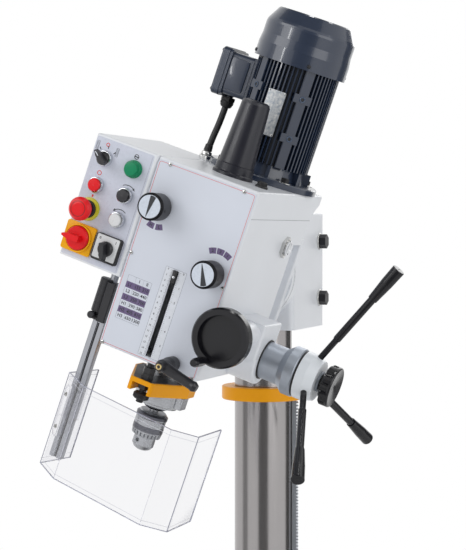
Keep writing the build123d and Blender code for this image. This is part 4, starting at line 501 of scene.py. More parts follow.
def length(label, default, words):
    """A length that a user can change."""
    return FloatProperty(name=label, description=words, default=default, min=0.0, subtype="DISTANCE",
                         unit="LENGTH")


def tint(label, default, words):
    """A colour that a user can change."""
    return FloatVectorProperty(name=label, description=words, default=default, min=0.0, max=1.0, size=3,
                               subtype="COLOR")


class PressSizes(bpy.types.PropertyGroup):
    """Sizes of the trim, in metres."""

    screw_head: length("Screw head", 0.007, "Diameter of the front plate's screw heads")
    knob_disc: length("Knob disc", 0.0386, "Diameter of the pale disc on a gear knob")
    scale_step: length("Scale step", 0.001, "Distance between the finest lines of the depth scale")
    thread_pitch: length("Thread pitch", 0.00175, "Pitch of the depth stop's rod")
    sheet_thickness: length("Guard sheet", 0.003, "Thickness of the clear guard")
    cable_diameter: length("Motor cable", 0.012, "Diameter of the motor's cable")
    knurl_ribs: IntProperty(name="Knurl ribs", description="Ribs round the thumb nut", default=44, min=12,
                            max=90)


class PressColours(bpy.types.PropertyGroup):
    """Colours of the finishes, in linear light."""

    head: tint("Head paint", screen(226, 229, 234), "Paint of the head, lid, box and bracket")
    plate: tint("Front plate", screen(211, 216, 227), "Paint of the front plate")
    motor: tint("Motor paint", screen(32, 44, 65), "Gloss paint of the motor")
    base: tint("Stand paint", screen(208, 211, 214), "Paint of the base, flange and table arm")
    yellow: tint("Yellow", screen(238, 160, 0), "Paint of the depth stop and rack ring")
    red: tint("Red", screen(226, 18, 27), "Stop buttons and main switch")
    green: tint("Green", screen(0, 130, 86), "Pilot lamp")
    violet: tint("Tags", screen(100, 84, 124), "Printed tags of the gear positions")
    black: tint("Black", screen(30, 30, 35), "Gear knobs, quill lock and small switches")


class Piece:
    """What every operator here shares: the sizes and colours of the scene."""

    bl_options = {"REGISTER"}

    @property
    def sizes(self):
        return bpy.context.scene.press_sizes

    @property
    def colours(self):
        return bpy.context.scene.press_colours


# Stage

CAMERA_PLACE = (1.0061, -2.9303, 1.7159)
CAMERA_TURN = (radians(90 - 1.575), 0, radians(20.027))
SENSOR_HEIGHT, FOCAL_LENGTH, CLIP_END = 36, 105.59, 200
# Lamps: place and size in metres, power in watts
LAMPS = (("key light", (-2.6, -3.4, 4.2), 3.2, 78), ("side light", (3.6, -2.2, 2.4), 2.6, 34),
         ("back light", (0.6, 3.4, 3.6), 2.4, 30))
LAMP_AIM = Vector((0, -0.25, 1.55))
# Cards round the stand: bearing and spread in degrees from the camera's side, height in metres, brightness
CARDS = (("front card", 0, 38, 0.02, 2.7, 0.2), ("left card", -77, 24, 0.02, 2.7, 0.4),
         ("right card", 119, 34, 0.02, 2.7, 0.12), ("left strip", -42, 3, 2.3, 2.62, 16))
CARD_REACH, CARD_STEPS = 2.0, 6
# Cards overhead: middle, width and depth in metres, height, brightness
OVERHEAD = (("ceiling card", 0.4, -0.6, 3.4, 2.6, 4.0, 0.22),
            ("ceiling lamp", 0.6, -0.19, 0.24, 0.4, 3.95, 20),
            ("second ceiling lamp", 1.57, 0.48, 0.3, 0.3, 3.95, 12))
WHITE = (1, 1, 1, 1)
FLOOR_GREY = (0.86, 0.86, 0.86)
# Radius of the floor, and the distances between which it pales, in millimetres
FLOOR_RADIUS, FADE_START, FADE_END = 9000, 900, 3600


class PRESS_OT_stage(Piece, bpy.types.Operator):
    """Camera, soft lamps, pale floor and white background"""

    bl_idname = "press.stage"
    bl_label = "Stage"

    def execute(self, context):
        scene = context.scene
        scene.view_settings.view_transform = "Standard"
        lens = bpy.data.cameras.new("camera")
        lens.sensor_fit, lens.sensor_height, lens.lens = "VERTICAL", SENSOR_HEIGHT, FOCAL_LENGTH
        lens.clip_end = CLIP_END
        camera = linked("camera", lens)
        camera.location, camera.rotation_euler = CAMERA_PLACE, CAMERA_TURN
        scene.camera = camera
        for name, spot, size, power in LAMPS:
            lamp = bpy.data.lights.new(name, "AREA")
            lamp.shape, lamp.size, lamp.energy = "SQUARE", size, power
            holder = linked(name, lamp)
            holder.location = spot
            holder.rotation_euler = (LAMP_AIM - Vector(spot)).to_track_quat("-Z", "Y").to_euler()
        self.background(scene)
        self.floor()
        for card in CARDS:
            self.upright(*card)
        for name, x, y, wide, deep, height, level in OVERHEAD:
            corners = [(x + side * wide / 2, y + rise * deep / 2, height) for side, rise in CORNERS]
            self.card(name, corners, [(0, 1, 3, 2)], level)
        return {"FINISHED"}

    def upright(self, name, bearing, spread, low, high, level):
        """A curved card that stands round the column."""
        middle = atan2(CAMERA_PLACE[1], CAMERA_PLACE[0]) + radians(bearing)
        turns = [middle + radians(spread) * (step / CARD_STEPS - 0.5) for step in range(CARD_STEPS + 1)]
        corners = [(*polar(CARD_REACH, turn), height) for turn in turns for height in (low, high)]
        faces = [(step, step + 1, step + 3, step + 2) for step in range(0, 2 * CARD_STEPS, 2)]
        self.card(name, corners, faces, level)

    def card(self, name, corners, faces, level):
        """A card that only shows in reflections: dark bands on turned metal, bright streaks on gloss."""
        mesh = bpy.data.meshes.new(name)
        mesh.from_pydata(corners, [], faces)
        finish = Finish(name, tilted=False)
        finish.show(finish.add("ShaderNodeEmission", {"Color": WHITE, "Strength": level}))
        mesh.materials.append(finish.material)
        card = linked(name, mesh)
        card.visible_camera = card.visible_diffuse = card.visible_shadow = card.visible_transmission = False

    def background(self, scene):
        """White to the eye and in reflections, and a plain soft light on everything."""
        world = bpy.data.worlds.new("studio")
        world.use_nodes = True
        scene.world = world
        sky = Nodes(world.node_tree)
        world.node_tree.nodes.clear()
        seen = path = sky.add("ShaderNodeLightPath", output="Is Camera Ray")
        for way in ("Is Glossy Ray", "Is Transmission Ray"):
            seen = seen + Value(sky, path.socket.node.outputs[way])
        soft, white = (sky.add("ShaderNodeBackground", {"Color": WHITE, "Strength": level})
                       for level in (0.5, 1.0))
        both = sky.add("ShaderNodeMixShader", {0: seen, 1: soft, 2: white})
        sky.add("ShaderNodeOutputWorld", {"Surface": both})

    def floor(self):
        """A round floor that pales into the background away from the machine."""
        mesh = Shape().lathe([(0, 0), (FLOOR_RADIUS, 0)], steps=96).plain("floor")
        mesh.transform(at(0, 0, -MM) @ STAND)
        floor = linked("floor", mesh)
        finish = Finish("floor", tilted=False, Roughness=0.8)
        far = finish.add("ShaderNodeVectorMath", {0: finish.spot}, "Value", operation="LENGTH")
        fade = finish.add("ShaderNodeMapRange", {"Value": far, "From Min": FADE_START, "From Max": FADE_END})
        finish.tone(FLOOR_GREY, finish.noise(300, 3), 0.98, 1.02)
        glow = finish.add("ShaderNodeEmission", {"Color": WHITE, "Strength": 1.0})
        grey = Value(finish, finish.shader.outputs[0])
        finish.show(finish.add("ShaderNodeMixShader", {0: fade, 1: grey, 2: glow}))
        mesh.materials.append(finish.material)


# Finishes

# How fine tool marks are along each axis
ROUND_HEAD_Z = (0.02, 0.02, 2.6)
ROUND_HEAD_X = (2.6, 0.02, 0.02)
FINE_ALL = (1.2, 1.2, 1.2)

NODE_FINISHES = {
    "head paint": ("head_housing", "head_lid", "control_box", "head_bracket"),
    # The capstan hub gets a lighter copy of the head's white: painted light.
    "hub paint": ("capstan_hub",),
    "plate paint": ("front_plate",),
    "stand paint": ("base", "column_flange", "table_arm"),
    "motor paint": ("motor_body", "motor_cowl", "terminal_box"),
    "ground column": ("column",),
    "rack steel": ("table_rack",),
    "table iron": ("work_table",),
    "yellow paint": ("rack_collar", "stop_bracket"),
    "turned steel": ("quill", "spindle", "chuck_body", "chuck_sleeve", "spindle_bearings"),
    "dark oxide": ("stop_rod",),
    "feed steel": ("clutch_sleeve", "feed_shaft", "return_spring"),
    "gear steel": ("motor_rotor", "speed_cluster", "range_shaft", "range_cluster", "drive_sleeve",
                   "speed_fork", "gearbox_bearings"),
    "jaw steel": ("chuck_jaw_1", "chuck_jaw_2", "chuck_jaw_3"),
    "plated steel": ("sight_glass",),
    "black steel": ("bracket_bolts", "arm_clamp_lever", "table_crank"),
    "gloss black": ("fine_feed_wheel", "fine_feed_handle", "star_knob", "feed_levers"),
    "black plastic": ("range_knob", "speed_knob", "quill_lock", "guard_switch", "direction_selector",
                      "coolant_switch", "tap_button"),
    "cap plastic": ("spindle_cap",),
    "red plastic": ("stop_button", "e_stop_button", "main_switch"),
    "white plastic": ("start_button",),
    "post aluminium": ("guard_post",),
    "clear sheet": ("guard_shield",),
    "cable rubber": ("motor_cable",),
    "bezel chrome": ("control_bezels",),
}


class PRESS_OT_finishes(Piece, bpy.types.Operator):
    """Every finish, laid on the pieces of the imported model"""

    bl_idname = "press.finishes"
    bl_label = "Finishes"

    def execute(self, context):
        self.paints(self.colours)
        self.metals()
        self.plastics(self.colours)
        self.inks(self.colours)
        self.rating()
        self.clear()
        for finish, nodes in NODE_FINISHES.items():
            for node in nodes:
                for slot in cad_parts[node].material_slots:
                    slot.material = bpy.data.materials[finish]
        return {"FINISHED"}

    def paints(self, hue):
        """Colour, roughness and peel of each paint."""
        painted("head paint", hue.head, 0.34)
        # The head's white made lighter for the hub: painted light, for the light that falls on it.
        painted("hub paint", screen(228, 233, 238), 0.3)
        painted("plate paint", hue.plate, 0.3, 0.03)
        painted("stand paint", hue.base, 0.4, 0.09, tilted=False)
        painted("motor paint", hue.motor, 0.3, 0.06, shift=0.1, Coat_Weight=0.6, Coat_Roughness=0.06)
        painted("yellow paint", hue.yellow, 0.36, 0.05, Specular_IOR_Level=0.25)
        # A lighter copy of the motor paint for the lug eyes: a painted highlight.
        painted("lug paint", screen(66, 80, 102), 0.24, 0.03)

    def metals(self):
        """Colour, roughness and tool marks of each metal."""
        machined("ground column", screen(160, 157, 157), 0.2, (0.5, 0.5, 0.01), False, 0.06, 0.002)
        machined("rack steel", screen(170, 174, 180), 0.36, (0.3, 0.3, 0.8), False)
        machined("table iron", screen(150, 152, 155), 0.34, (0.05, 1.6, 0.4), False)
        machined("turned steel", screen(176, 178, 181), 0.24, ROUND_HEAD_Z, depth=0.006)
        machined("feed steel", screen(164, 170, 179), 0.46, ROUND_HEAD_X, depth=0.006)
        machined("gear steel", screen(140, 142, 146), 0.38, FINE_ALL)
        machined("jaw steel", screen(120, 122, 126), 0.36, FINE_ALL)
        machined("plated steel", screen(206, 206, 204), 0.2, FINE_ALL, shift=0.06)
        machined("bezel chrome", screen(214, 216, 220), 0.16, FINE_ALL, shift=0.05)
        machined("post aluminium", screen(166, 168, 174), 0.3, (1.5, 1.5, 0.02), depth=0.006)
        machined("smoked steel", screen(98, 99, 106), 0.3, ROUND_HEAD_Z, depth=0.006)
        machined("brass", screen(206, 184, 132), 0.3, FINE_ALL)
        blackened("black steel", screen(38, 38, 41))
        # Also the finish of the dark marks in screw slots, the quill lock screw's socket and the post's
        # groove: painted shade.
        blackened("dark oxide", screen(52, 52, 54), 0.45)

    def plastics(self, hue):
        """Colour, roughness and grain of each plastic."""
        moulded("black plastic", hue.black, 0.4)
        moulded("gloss black", screen(20, 20, 25), 0.22, 0.01, shift=0.08, Specular_IOR_Level=0.4)
        moulded("soft black", screen(28, 28, 30), 0.55, 0.08)
        moulded("rim black", screen(20, 20, 24), 0.45, 0.02, Specular_IOR_Level=0.15)
        moulded("cap plastic", screen(27, 28, 38), 0.3, 0.03, shift=0.08)
        moulded("red plastic", hue.red, 0.34, 0.02, shift=0.06, Specular_IOR_Level=0.3)
        moulded("white plastic", screen(222, 224, 226), 0.3, 0.02, shift=0.04)
        moulded("yellow plastic", screen(240, 172, 6), 0.38, 0.02, shift=0.05, Specular_IOR_Level=0.25)
        moulded("lime plastic", screen(206, 198, 40), 0.36, 0.02, shift=0.05)
        moulded("green lens", hue.green, 0.3, 0.01, shift=0.08, Specular_IOR_Level=0.3)
        # Finish of the guard's cut edges and outer bends: painted reflection.
        moulded("sheet edge", screen(164, 166, 182), 0.25, 0.02, shift=0.08)
        # Also on the guard's two middle bends, as painted reflection.
        moulded("sheet line", screen(206, 207, 216), 0.3, 0.02, shift=0.05)
        moulded("sight lens", screen(196, 200, 204), 0.1, 0.01, Coat_Weight=0.6)
        moulded("cable rubber", screen(30, 31, 33), 0.5, 0.1, 1.2)
        # A darker copy of the red for the e-stop's groove: painted shade.
        moulded("deep red", screen(150, 10, 16), 0.4, 0.02, shift=0.06)

    def inks(self, hue):
        """Colour and roughness of each ink or film."""
        printed("red ink", screen(214, 60, 56))
        printed("black ink", screen(38, 40, 46))
        printed("grey ink", screen(128, 132, 142))
        printed("white film", screen(219, 223, 231))
        printed("violet ink", hue.violet)
        printed("knob disc", screen(206, 214, 226), 0.28)
        printed("box film", screen(205, 209, 223), 0.3)
        printed("seam shade", screen(96, 100, 106), 0.6)

    def rating(self):
        """Bare aluminium plate, stained and speckled."""
        finish = Finish("rating plate", Metallic=0.6)
        stain = finish.noise(5, 4) * 1.6 - 0.3
        dark, light = (*screen(104, 120, 138), 1), (*screen(214, 212, 208), 1)
        finish.feed("Base Color", finish.blend(stain, dark, light))
        finish.feed("Roughness", stain * 0.2 + 0.4)
        finish.relief(finish.noise(1.6, 3), 0.1)

    def clear(self):
        """Clear bent sheet with fine handling marks."""
        finish = Finish("clear sheet", Transmission_Weight=1.0, IOR=1.02, Roughness=0.02, Coat_Weight=0.5)
        rub = finish.noise(40, 4, (1, 1, 0.3))
        finish.tone((0.925, 0.925, 0.94), rub, 0.985, 1.0)
        finish.feed("Roughness", rub * 0.05)


# Fasteners


def screws(name, spots, diameter, finish="plated steel", body="head"):
    """Domed screws on places, each with a dark cross over its slot: painted shade."""
    rim, top = diameter / 2, diameter * 0.32
    dome = [(0, -0.3), (rim, -0.3), (rim, top * 0.3), (rim * 0.8, top * 0.8), (rim * 0.45, top), (0, top)]
    repeated(name, places_tree, finish, Shape().lathe(dome, steps=16), body, spots=spots)
    # A dark cross over each slot: painted shade.
    cross = Shape()
    for wide, high in ((rim * 1.3, rim * 0.26), (rim * 0.26, rim * 1.3)):
        cross.prism(rounded(wide, high, 0.05, 1), HERE, top * 0.7, top + 0.04)
    repeated(name + "_cross", places_tree, "dark oxide", cross, body, spots=spots)


def hex_bolts(name, spots, across, body="head", place=HEAD):
    """Black hexagon heads on pale washers."""
    corner, high, rim = across / sqrt(3), across * 0.66, across * 0.9
    head = Shape().lathe([(0, 1), (corner, 1), (corner, high - 1), (corner * 0.86, high), (0, high)], steps=6)
    repeated(name, places_tree, "black steel", head, body, place, spots, HEX_CREASE)
    washer = Shape().lathe([(0, -0.2), (rim, -0.2), (rim, 1), (across * 0.84, 1.4), (0, 1.4)], steps=24)
    repeated(name + "_washers", places_tree, "plated steel", washer, body, place, spots)


# Motor cable

CABLE_ROUTE = ((-110, -184, 293), (-110, -184, 257), (-110, -200, 209), (-110, -200, 175))


class PRESS_OT_motor_cable(Piece, bpy.types.Operator):
    """Motor cable, from the terminal box's gland down into the control box"""

    bl_idname = "press.motor_cable"
    bl_label = "Motor cable"

    def execute(self, context):
        run = bpy.data.curves.new("motor_cable_run", "CURVE")
        run.dimensions, run.bevel_resolution, run.use_fill_caps = "3D", 4, True
        run.bevel_depth = self.sizes.cable_diameter / 2
        spline = run.splines.new("NURBS")
        spline.points.add(len(CABLE_ROUTE) - 1)
        for point, spot in zip(spline.points, CABLE_ROUTE):
            point.co = (*(HEAD @ Vector(spot)), 1)
        spline.order_u, spline.resolution_u = 3, 16
        spline.use_endpoint_u = True
        run.materials.append(bpy.data.materials["cable rubber"])
        cable = linked("motor_cable_run", run)
        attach(cable, "head")
        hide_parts("motor_cable")
        return {"FINISHED"}


# Front plate

# Rounded frames: width, height, corner radius
BORDER_OUTER, BORDER_INNER, BORDER_MIDDLE = (177.6, 321.6, 4), (176.3, 320.3, 3.3), 12
SCALE_OUTER, SCALE_INNER, SCALE_FILM = (39, 156, 0.8), (38.3, 155.3, 0.4), (13.4, 154, 0.5)
SCALE_FILM_SIDE, SCALE_MIDDLE, SCALE_ZERO = 12.2, -66, 8.6
SLOT_MARGIN, LINE_HALF = 5.6, 0.13
# Lines of the depth scale: length, spacing, count, side of the slot
SCALE_LINES = (("scale_millimetres", 2.2, 1, 151, -1), ("scale_fives", 3.4, 5, 31, -1),
               ("scale_tens", 4.6, 10, 16, -1), ("scale_eighths", 2.2, 3.175, 48, 1),
               ("scale_halves", 3.4, 12.7, 12, 1), ("scale_inches", 4.6, 25.4, 6, 1))
# Digits of the depth scale: count, spacing, size, place across the plate
SCALE_DIGITS = ((16, 10, 4.4, -14.4), (6, 25.4, 5, 14.4))
TABLE_PLACE, TABLE_WIDTH, TABLE_ROW = (-56.1, -25), 44.9, 10.9
TABLE_TEXT, TABLE_RULE, TABLE_EDGE = 7.8, 0.25, 0.35
SPEED_TABLE = (("", "I", "II"), ("L1", "155", "310"), ("L2", "220", "440"), ("L3", "350", "700"),
               ("H1", "290", "580"), ("H2", "405", "810"), ("H3", "650", "1300"))
PLATE_SCREWS = ((-69, 172), (69, 172), (-86.6, 11), (86.6, 11), (-86, -149), (86, -149))


class PRESS_OT_plate_print(Piece, bpy.types.Operator):
    """Red border, depth scale and speed table printed on the front plate, and its screws"""

    bl_idname = "press.plate_print"
    bl_label = "Front plate print"

    def execute(self, context):
        border = Shape().band(rounded(*BORDER_OUTER), rounded(*BORDER_INNER), front(0, BORDER_MIDDLE))
        border.made("plate_border", "red ink")
        self.scale()
        self.table()
        spots = [((x, PLATE_FACE, z), -Y) for x, z in PLATE_SCREWS]
        screws("plate_screws", spots, self.sizes.screw_head / MM)
        return {"FINISHED"}

    def scale(self):
        """Centimetres on the left of the slot, inches on its right, in a thin frame."""
        label, step = front(0, SCALE_MIDDLE), self.sizes.scale_step / MM
        film, digits = Shape(), Shape()
        for side in (-1, 1):
            film.prism(rounded(*SCALE_FILM, x=side * SCALE_FILM_SIDE), label, 0, FILM / 3)
        film.made("scale_film", "white film")
        outline = Shape().band(rounded(*SCALE_OUTER), rounded(*SCALE_INNER), label)
        outline.made("scale_frame", "grey ink")
        for name, long, every, count, side in SCALE_LINES:
            line = Shape().block((-long / 2, -FILM, -LINE_HALF), (long / 2, 0, LINE_HALF))
            repeated(name, row_tree, "black ink", line, Count=count, Step=(0, 0, -every * step),
                     Start=(side * (SLOT_MARGIN + long / 2), PLATE_FACE, SCALE_ZERO))
        for count, every, size, x in SCALE_DIGITS:
            for mark in range(count):
                digits.words(str(mark), size, front(x, SCALE_ZERO - every * mark * step))
        digits.made("scale_digits", "black ink")

    def table(self):
        """Spindle speeds for each pair of gear positions, every other row on a violet band."""
        bands, lines, figures = Shape(), Shape(), Shape()
        middle, top = TABLE_PLACE
        cell, tall = TABLE_WIDTH / 3, TABLE_ROW * len(SPEED_TABLE)
        centre = front(middle, top - tall / 2)
        for row, codes in enumerate(SPEED_TABLE):
            height = top - TABLE_ROW * (row + 0.5)
            if row % 2:
                bands.prism(rounded(TABLE_WIDTH, TABLE_ROW, 0.2, 1), front(middle, height), 0, FILM / 2)
            for column, code in enumerate(codes):
                figures.words(code, TABLE_TEXT, front(middle + cell * (column - 1), height))
        for edge in (-0.5, 0.5):
            lines.prism(rounded(TABLE_RULE, tall, 0.1, 1, x=cell * edge), centre, 0, FILM * 0.8)
        outer = rounded(TABLE_WIDTH, tall, 0.4)
        inner = rounded(TABLE_WIDTH - 2 * TABLE_EDGE, tall - 2 * TABLE_EDGE, 0.2)
        lines.band(outer, inner, centre, 0, FILM * 0.8)
        bands.made("table_bands", "violet ink")
        lines.made("table_lines", "grey ink")
        figures.made("table_figures", "black ink")


# Gear knobs

# Knobs: place, pointing in degrees, reach of the tags, and each tag with its angle
KNOBS = (("range_knob", (-62.5, 100), 176, 34, (("H", -101), ("L", -75))),
         ("speed_knob", (62.5, 27), 23, 39, (("2", 110), ("3", 89.5), ("1", 69))))
KNOB_EDGE = [(23.15, -3.6), (23.15, -6), (22, -6)]
GRUB_SCREW = [(0, 0), (2.4, 0), (2.4, 0.5), (0, 0.5)]
GRUB_REACH, GRUB_DEPTH = 22.9, 14
DISC_TOP = 0.4
TAG_HALF, TAG_ARC, TAG_TEXT = 5, 720, 7.5


class PRESS_OT_gear_knobs(Piece, bpy.types.Operator):
    """Pale discs with their pointers on the two gear knobs, and the tags of their positions"""

    bl_idname = "press.gear_knobs"
    bl_label = "Gear knobs"

    def execute(self, context):
        edge = self.sizes.knob_disc / MM / 2
        disc = [(0, -1.3), (edge, -1.3), (edge, 0.2), (edge - 0.2, DISC_TOP), (0, DISC_TOP)]
        rim = [(edge, -2), (edge, 0.3), (edge + 0.9, 0.3), *KNOB_EDGE]
        tail, tip = 1.5 - edge, edge - 1.2
        wedge = [(-5.2, tail), (0, 0.7 - edge), (5.2, tail), (0.4, tip), (-0.4, tip)]
        tags, signs = Shape(), Shape()
        for name, (x, z), pointing, reach, marks in KNOBS:
            top = front(x, z, KNOB_FACE) @ Matrix.Rotation(radians(pointing), 4, "Z")
            grub = axis_frame((x + GRUB_REACH, KNOB_FACE + GRUB_DEPTH, z), X)
            turned(name + "_disc", "knob disc", top, disc, 64, body=name)
            turned(name + "_rim", "rim black", top, rim, 64, body=name)
            cut(name + "_pointer", "black ink", top, wedge, DISC_TOP, DISC_TOP + FILM, body=name)
            turned(name + "_grub_screw", "dark oxide", grub, GRUB_SCREW, 20, body=name)
            for sign, angle in marks:
                spot, turn = front(x, z), radians(angle)
                tag = sector(reach - TAG_HALF, reach + TAG_HALF, angle, TAG_ARC / reach)
                tags.prism(tag, spot, 0, FILM / 2)
                lean = turn - pi / 2 if angle > 0 else turn + pi / 2
                signs.words(sign, TAG_TEXT, spot @ at(*polar(reach, turn), 0), lean)
        tags.made("gear_tags", "violet ink")
        signs.made("gear_tag_signs", "black ink")
        return {"FINISHED"}


# Controls

BEZEL = ((8.3, 0), (14, 0), (14, 5.2), (13.5, 7.4), (12.6, 8.8), (11.8, 9.1), (11.3, 8.6), (11.3, 2),
         (8.3, 2))
LAMP_FOOT = ((0, 0), (15.3, 0), (15.3, 3.6), (14.6, 4.6), (0, 4.6))
LAMP_LENS = ((0, 4.6), (14.4, 4.6), (14.4, 9.5), (13.8, 10.4), (12.2, 10.8), (12.2, 14.2), (11.2, 15.8),
             (7, 16.3), (0, 16.5))
STOP_RING = ((8.3, 0), (20, 0), (20, 3.4), (19.2, 4.6), (16, 5.4), (12.8, 5.4), (12.8, 2), (8.3, 2))
STOP_NECK = ((11.4, 5.4), (15.4, 5.4), (15, 11.4), (14.2, 12), (11.4, 12))
# Profile of the darker red ring in the e-stop's groove: painted shade.
STOP_GROOVE_SHADE = ((12.2, 42.8), (13.6, 42.4), (13.6, 42.8), (12.2, 43.2))
SWITCH_COLLAR = ((21.4, 4), (24.4, 4), (24.4, 8), (23.8, 8.8), (22, 8.8), (21.4, 8))
# Switch plates: width, height, corner radius, and the height of each
MAIN_PLATE, MAIN_PLATE_TOP = (56, 51, 4), 5
CAM_FRAME, CAM_OPENING, CAM_FRAME_TOP = (48, 46, 4), (43, 41, 2.4), 8
CAM_PLATE, CAM_PLATE_TOP, CAM_SHIFT = (43.4, 41.4, 2.4), 7.2, {"x": -1.2, "y": 1.2}
CAM_SIGNS, CAM_SIGN_RISE, CAM_TEXT = (("0", -16.4), ("1", 13.6)), 15, 6.5
STANDS_FOR = {"replaces": ("control_bezels",)}


class PRESS_OT_controls(Piece, bpy.types.Operator):
    """Chrome rings, pilot lamp, stop collar and switch plates of the control box"""

    bl_idname = "press.controls"
    bl_label = "Controls"

    def execute(self, context):
        top, buttons, starts, switches = [[panel(x, row) for x in (LEFT_COLUMN, RIGHT_COLUMN)]
                                          for row in ROWS]
        rings = Shape()
        for spot in (top[0], *buttons, starts[1]):
            rings.lathe(BEZEL, spot)
        rings.made("control_rings", "bezel chrome", **STANDS_FOR)
        turned("lamp_foot", "green lens", top[1], LAMP_FOOT, **STANDS_FOR)
        turned("lamp_lens", "green lens", top[1], LAMP_LENS, **STANDS_FOR)
        turned("e_stop_ring", "lime plastic", starts[0], STOP_RING, **STANDS_FOR)
        turned("e_stop_neck", "soft black", starts[0], STOP_NECK, **STANDS_FOR)
        # A darker red ring in the e-stop's groove: painted shade.
        turned("e_stop_groove", "deep red", starts[0], STOP_GROOVE_SHADE, body="e_stop")
        self.plates(*switches)
        return {"FINISHED"}

    def plates(self, main, cam):
        """Yellow plate of the main switch, pale plate in a black frame of the cam switch."""
        yellow = Shape().prism(rounded(*MAIN_PLATE), main, 0, MAIN_PLATE_TOP).lathe(SWITCH_COLLAR, main)
        yellow.made("main_switch_plate", "yellow plastic", bevel=0.8, **STANDS_FOR)
        opening = rounded(*CAM_OPENING, **CAM_SHIFT)
        rim = Shape().band(rounded(*CAM_FRAME), opening, cam, 0, CAM_FRAME_TOP)
        rim.made("cam_switch_frame", "soft black", bevel=0.7, **STANDS_FOR)
        pale = rounded(*CAM_PLATE, **CAM_SHIFT)
        cut("cam_switch_plate", "white plastic", cam, pale, 0, CAM_PLATE_TOP, **STANDS_FOR)
        signs = Shape()
        for sign, x in CAM_SIGNS:
            signs.words(sign, CAM_TEXT, cam @ at(x, CAM_SIGN_RISE, CAM_PLATE_TOP))
        signs.made("cam_switch_signs", "black ink")


# Signs round the controls

SELECTOR_TOP = front(LEFT_COLUMN, ROWS[0], BOX_FACE - 24) @ Matrix.Rotation(radians(51), 4, "Z")
SELECTOR_LINE, SELECTOR_REACH = (1.4, 9, 0.5, 3), 9
SELECTOR_MARKS, SELECTOR_INNER, SELECTOR_OUTER, SELECTOR_SPREAD = (135, 90, 45), 17, 22, 5
BOX_FILM_PLACE, BOX_FILM = panel(-156, 71.5), (110, 209, 3)
BOX_LINE_PLACE, BOX_LINE = panel(-104, 72), (0.4, 204, 0.1, 1)
# Turning arrows: radii and spread of the bow, radii of the head's barbs and point, turn of the point
ARROW_INNER, ARROW_OUTER, ARROW_SPREAD = 17.6, 18.9, 66
BARB_INNER, BARB_OUTER, ARROW_POINT, POINT_TURN = 15.9, 20.6, 18.25, 15
LADDERS = (panel(-206.3, 161), panel(-168.3, 159.3))
LADDER_OUTER, LADDER_INNER, RUNG = (5.4, 15, 0.6), (3.8, 13.4, 0.3), (4.6, 0.9, 0.2, 1)
LAMP_SIGN, LAMP_OUTER, LAMP_INNER, LAMP_BAR = panel(-132, 164), 4.4, 3.2, (6.4, 1.8, 0.3, 2)
# Red rings: place and radius
RED_RINGS = ((panel(-188.2, 166.5), 3.4), (panel(-187.9, 117), 4.2))
RED_RING_WIDTH, RING_STEPS = 1.3, 24
RED_DROP_PLACE, RED_DROP = panel(-187, 76.5), (3.4, 4.4, 0.8)


class PRESS_OT_box_marks(Piece, bpy.types.Operator):
    """Signs printed round the controls: turning arrows, selector lines, rings"""

    bl_idname = "press.box_marks"
    bl_label = "Control signs"

    def execute(self, context):
        cut("box_film", "box film", BOX_FILM_PLACE, rounded(*BOX_FILM), 0, FILM / 3)
        dark, red, grey = Shape(), Shape(), Shape()
        for row, way in ((ROWS[1], 1), (ROWS[2], -1)):
            spot, tip = panel(RIGHT_COLUMN, row), 90 - way * ARROW_SPREAD / 2
            dark.prism(sector(ARROW_INNER, ARROW_OUTER, 90, ARROW_SPREAD, 14), spot)
            corners = ((BARB_INNER, tip), (BARB_OUTER, tip), (ARROW_POINT, tip - way * POINT_TURN))
            dark.prism([polar(far, radians(turn)) for far, turn in corners], spot)
        for angle in SELECTOR_MARKS:
            mark = sector(SELECTOR_INNER, SELECTOR_OUTER, angle, SELECTOR_SPREAD)
            dark.prism(mark, panel(LEFT_COLUMN, ROWS[0]))
        for spot in LADDERS:
            grey.band(rounded(*LADDER_OUTER), rounded(*LADDER_INNER), spot)
            for rung in range(-5, 6, 2):
                grey.prism(rounded(*RUNG, y=rung), spot)
        dark.band(circle(LAMP_OUTER, RING_STEPS), circle(LAMP_INNER, RING_STEPS), LAMP_SIGN)
        dark.prism(rounded(*LAMP_BAR), LAMP_SIGN)
        for spot, far in RED_RINGS:
            red.band(circle(far, RING_STEPS), circle(far - RED_RING_WIDTH, RING_STEPS), spot)
        red.prism(rounded(*RED_DROP), RED_DROP_PLACE)
        grey.prism(rounded(*BOX_LINE), BOX_LINE_PLACE)
        dark.made("box_signs", "black ink")
        red.made("box_red_signs", "red ink")
        grey.made("box_grey_signs", "grey ink")
        line = rounded(*SELECTOR_LINE, y=SELECTOR_REACH)
        cut("selector_line", "white film", SELECTOR_TOP, line, body="selector")
        return {"FINISHED"}


# Motor

RATING_X, RATING_Z, RATING_FACE = 1.75, 300, -259.2
RATING_SIZE, RATING_THICK, RIVET_ACROSS, RIVET_RISE, RIVET = (33.5, 80, 2.5), 0.9, 14.5, 37.5, 3.2
LUG_WAY, LUG_REACH, LUG_HEIGHTS = Vector((0.588, -0.809, 0)), 76.4, (266, 338)
LUG_EYE = [(3, 0), (5.6, 0), (5.6, 0.8), (5, 1.4), (3.6, 1.4), (3, 0.8)]
# Profile of the dark disc in each lug eye's hole: painted shade.
LUG_HOLE_SHADE = [(0, 0), (3, 0), (3, 0.4), (0, 0.4)]
BOLT_RADIUS, BOLT_HEIGHT, BOLT_SIZE = 88, 191, 13
COWL_RADIUS, COWL_HEIGHT, COWL_SCREW = 84, 395.5, 7
TERMINAL_SIDE, TERMINAL_Z, TERMINAL_ACROSS, TERMINAL_RISE, TERMINAL_SCREW = -134, 340.5, 35, 36, 6
PAD_PLACE, PAD_SIZE, PAD_LOW, PAD_TOP = front(-94, TERMINAL_Z, -221), (35, 58, 4), -1, 2.4


def outwards(far, turn):
    """A level way of some length; its turn in degrees."""
    return Vector((*polar(far, radians(turn)), 0))


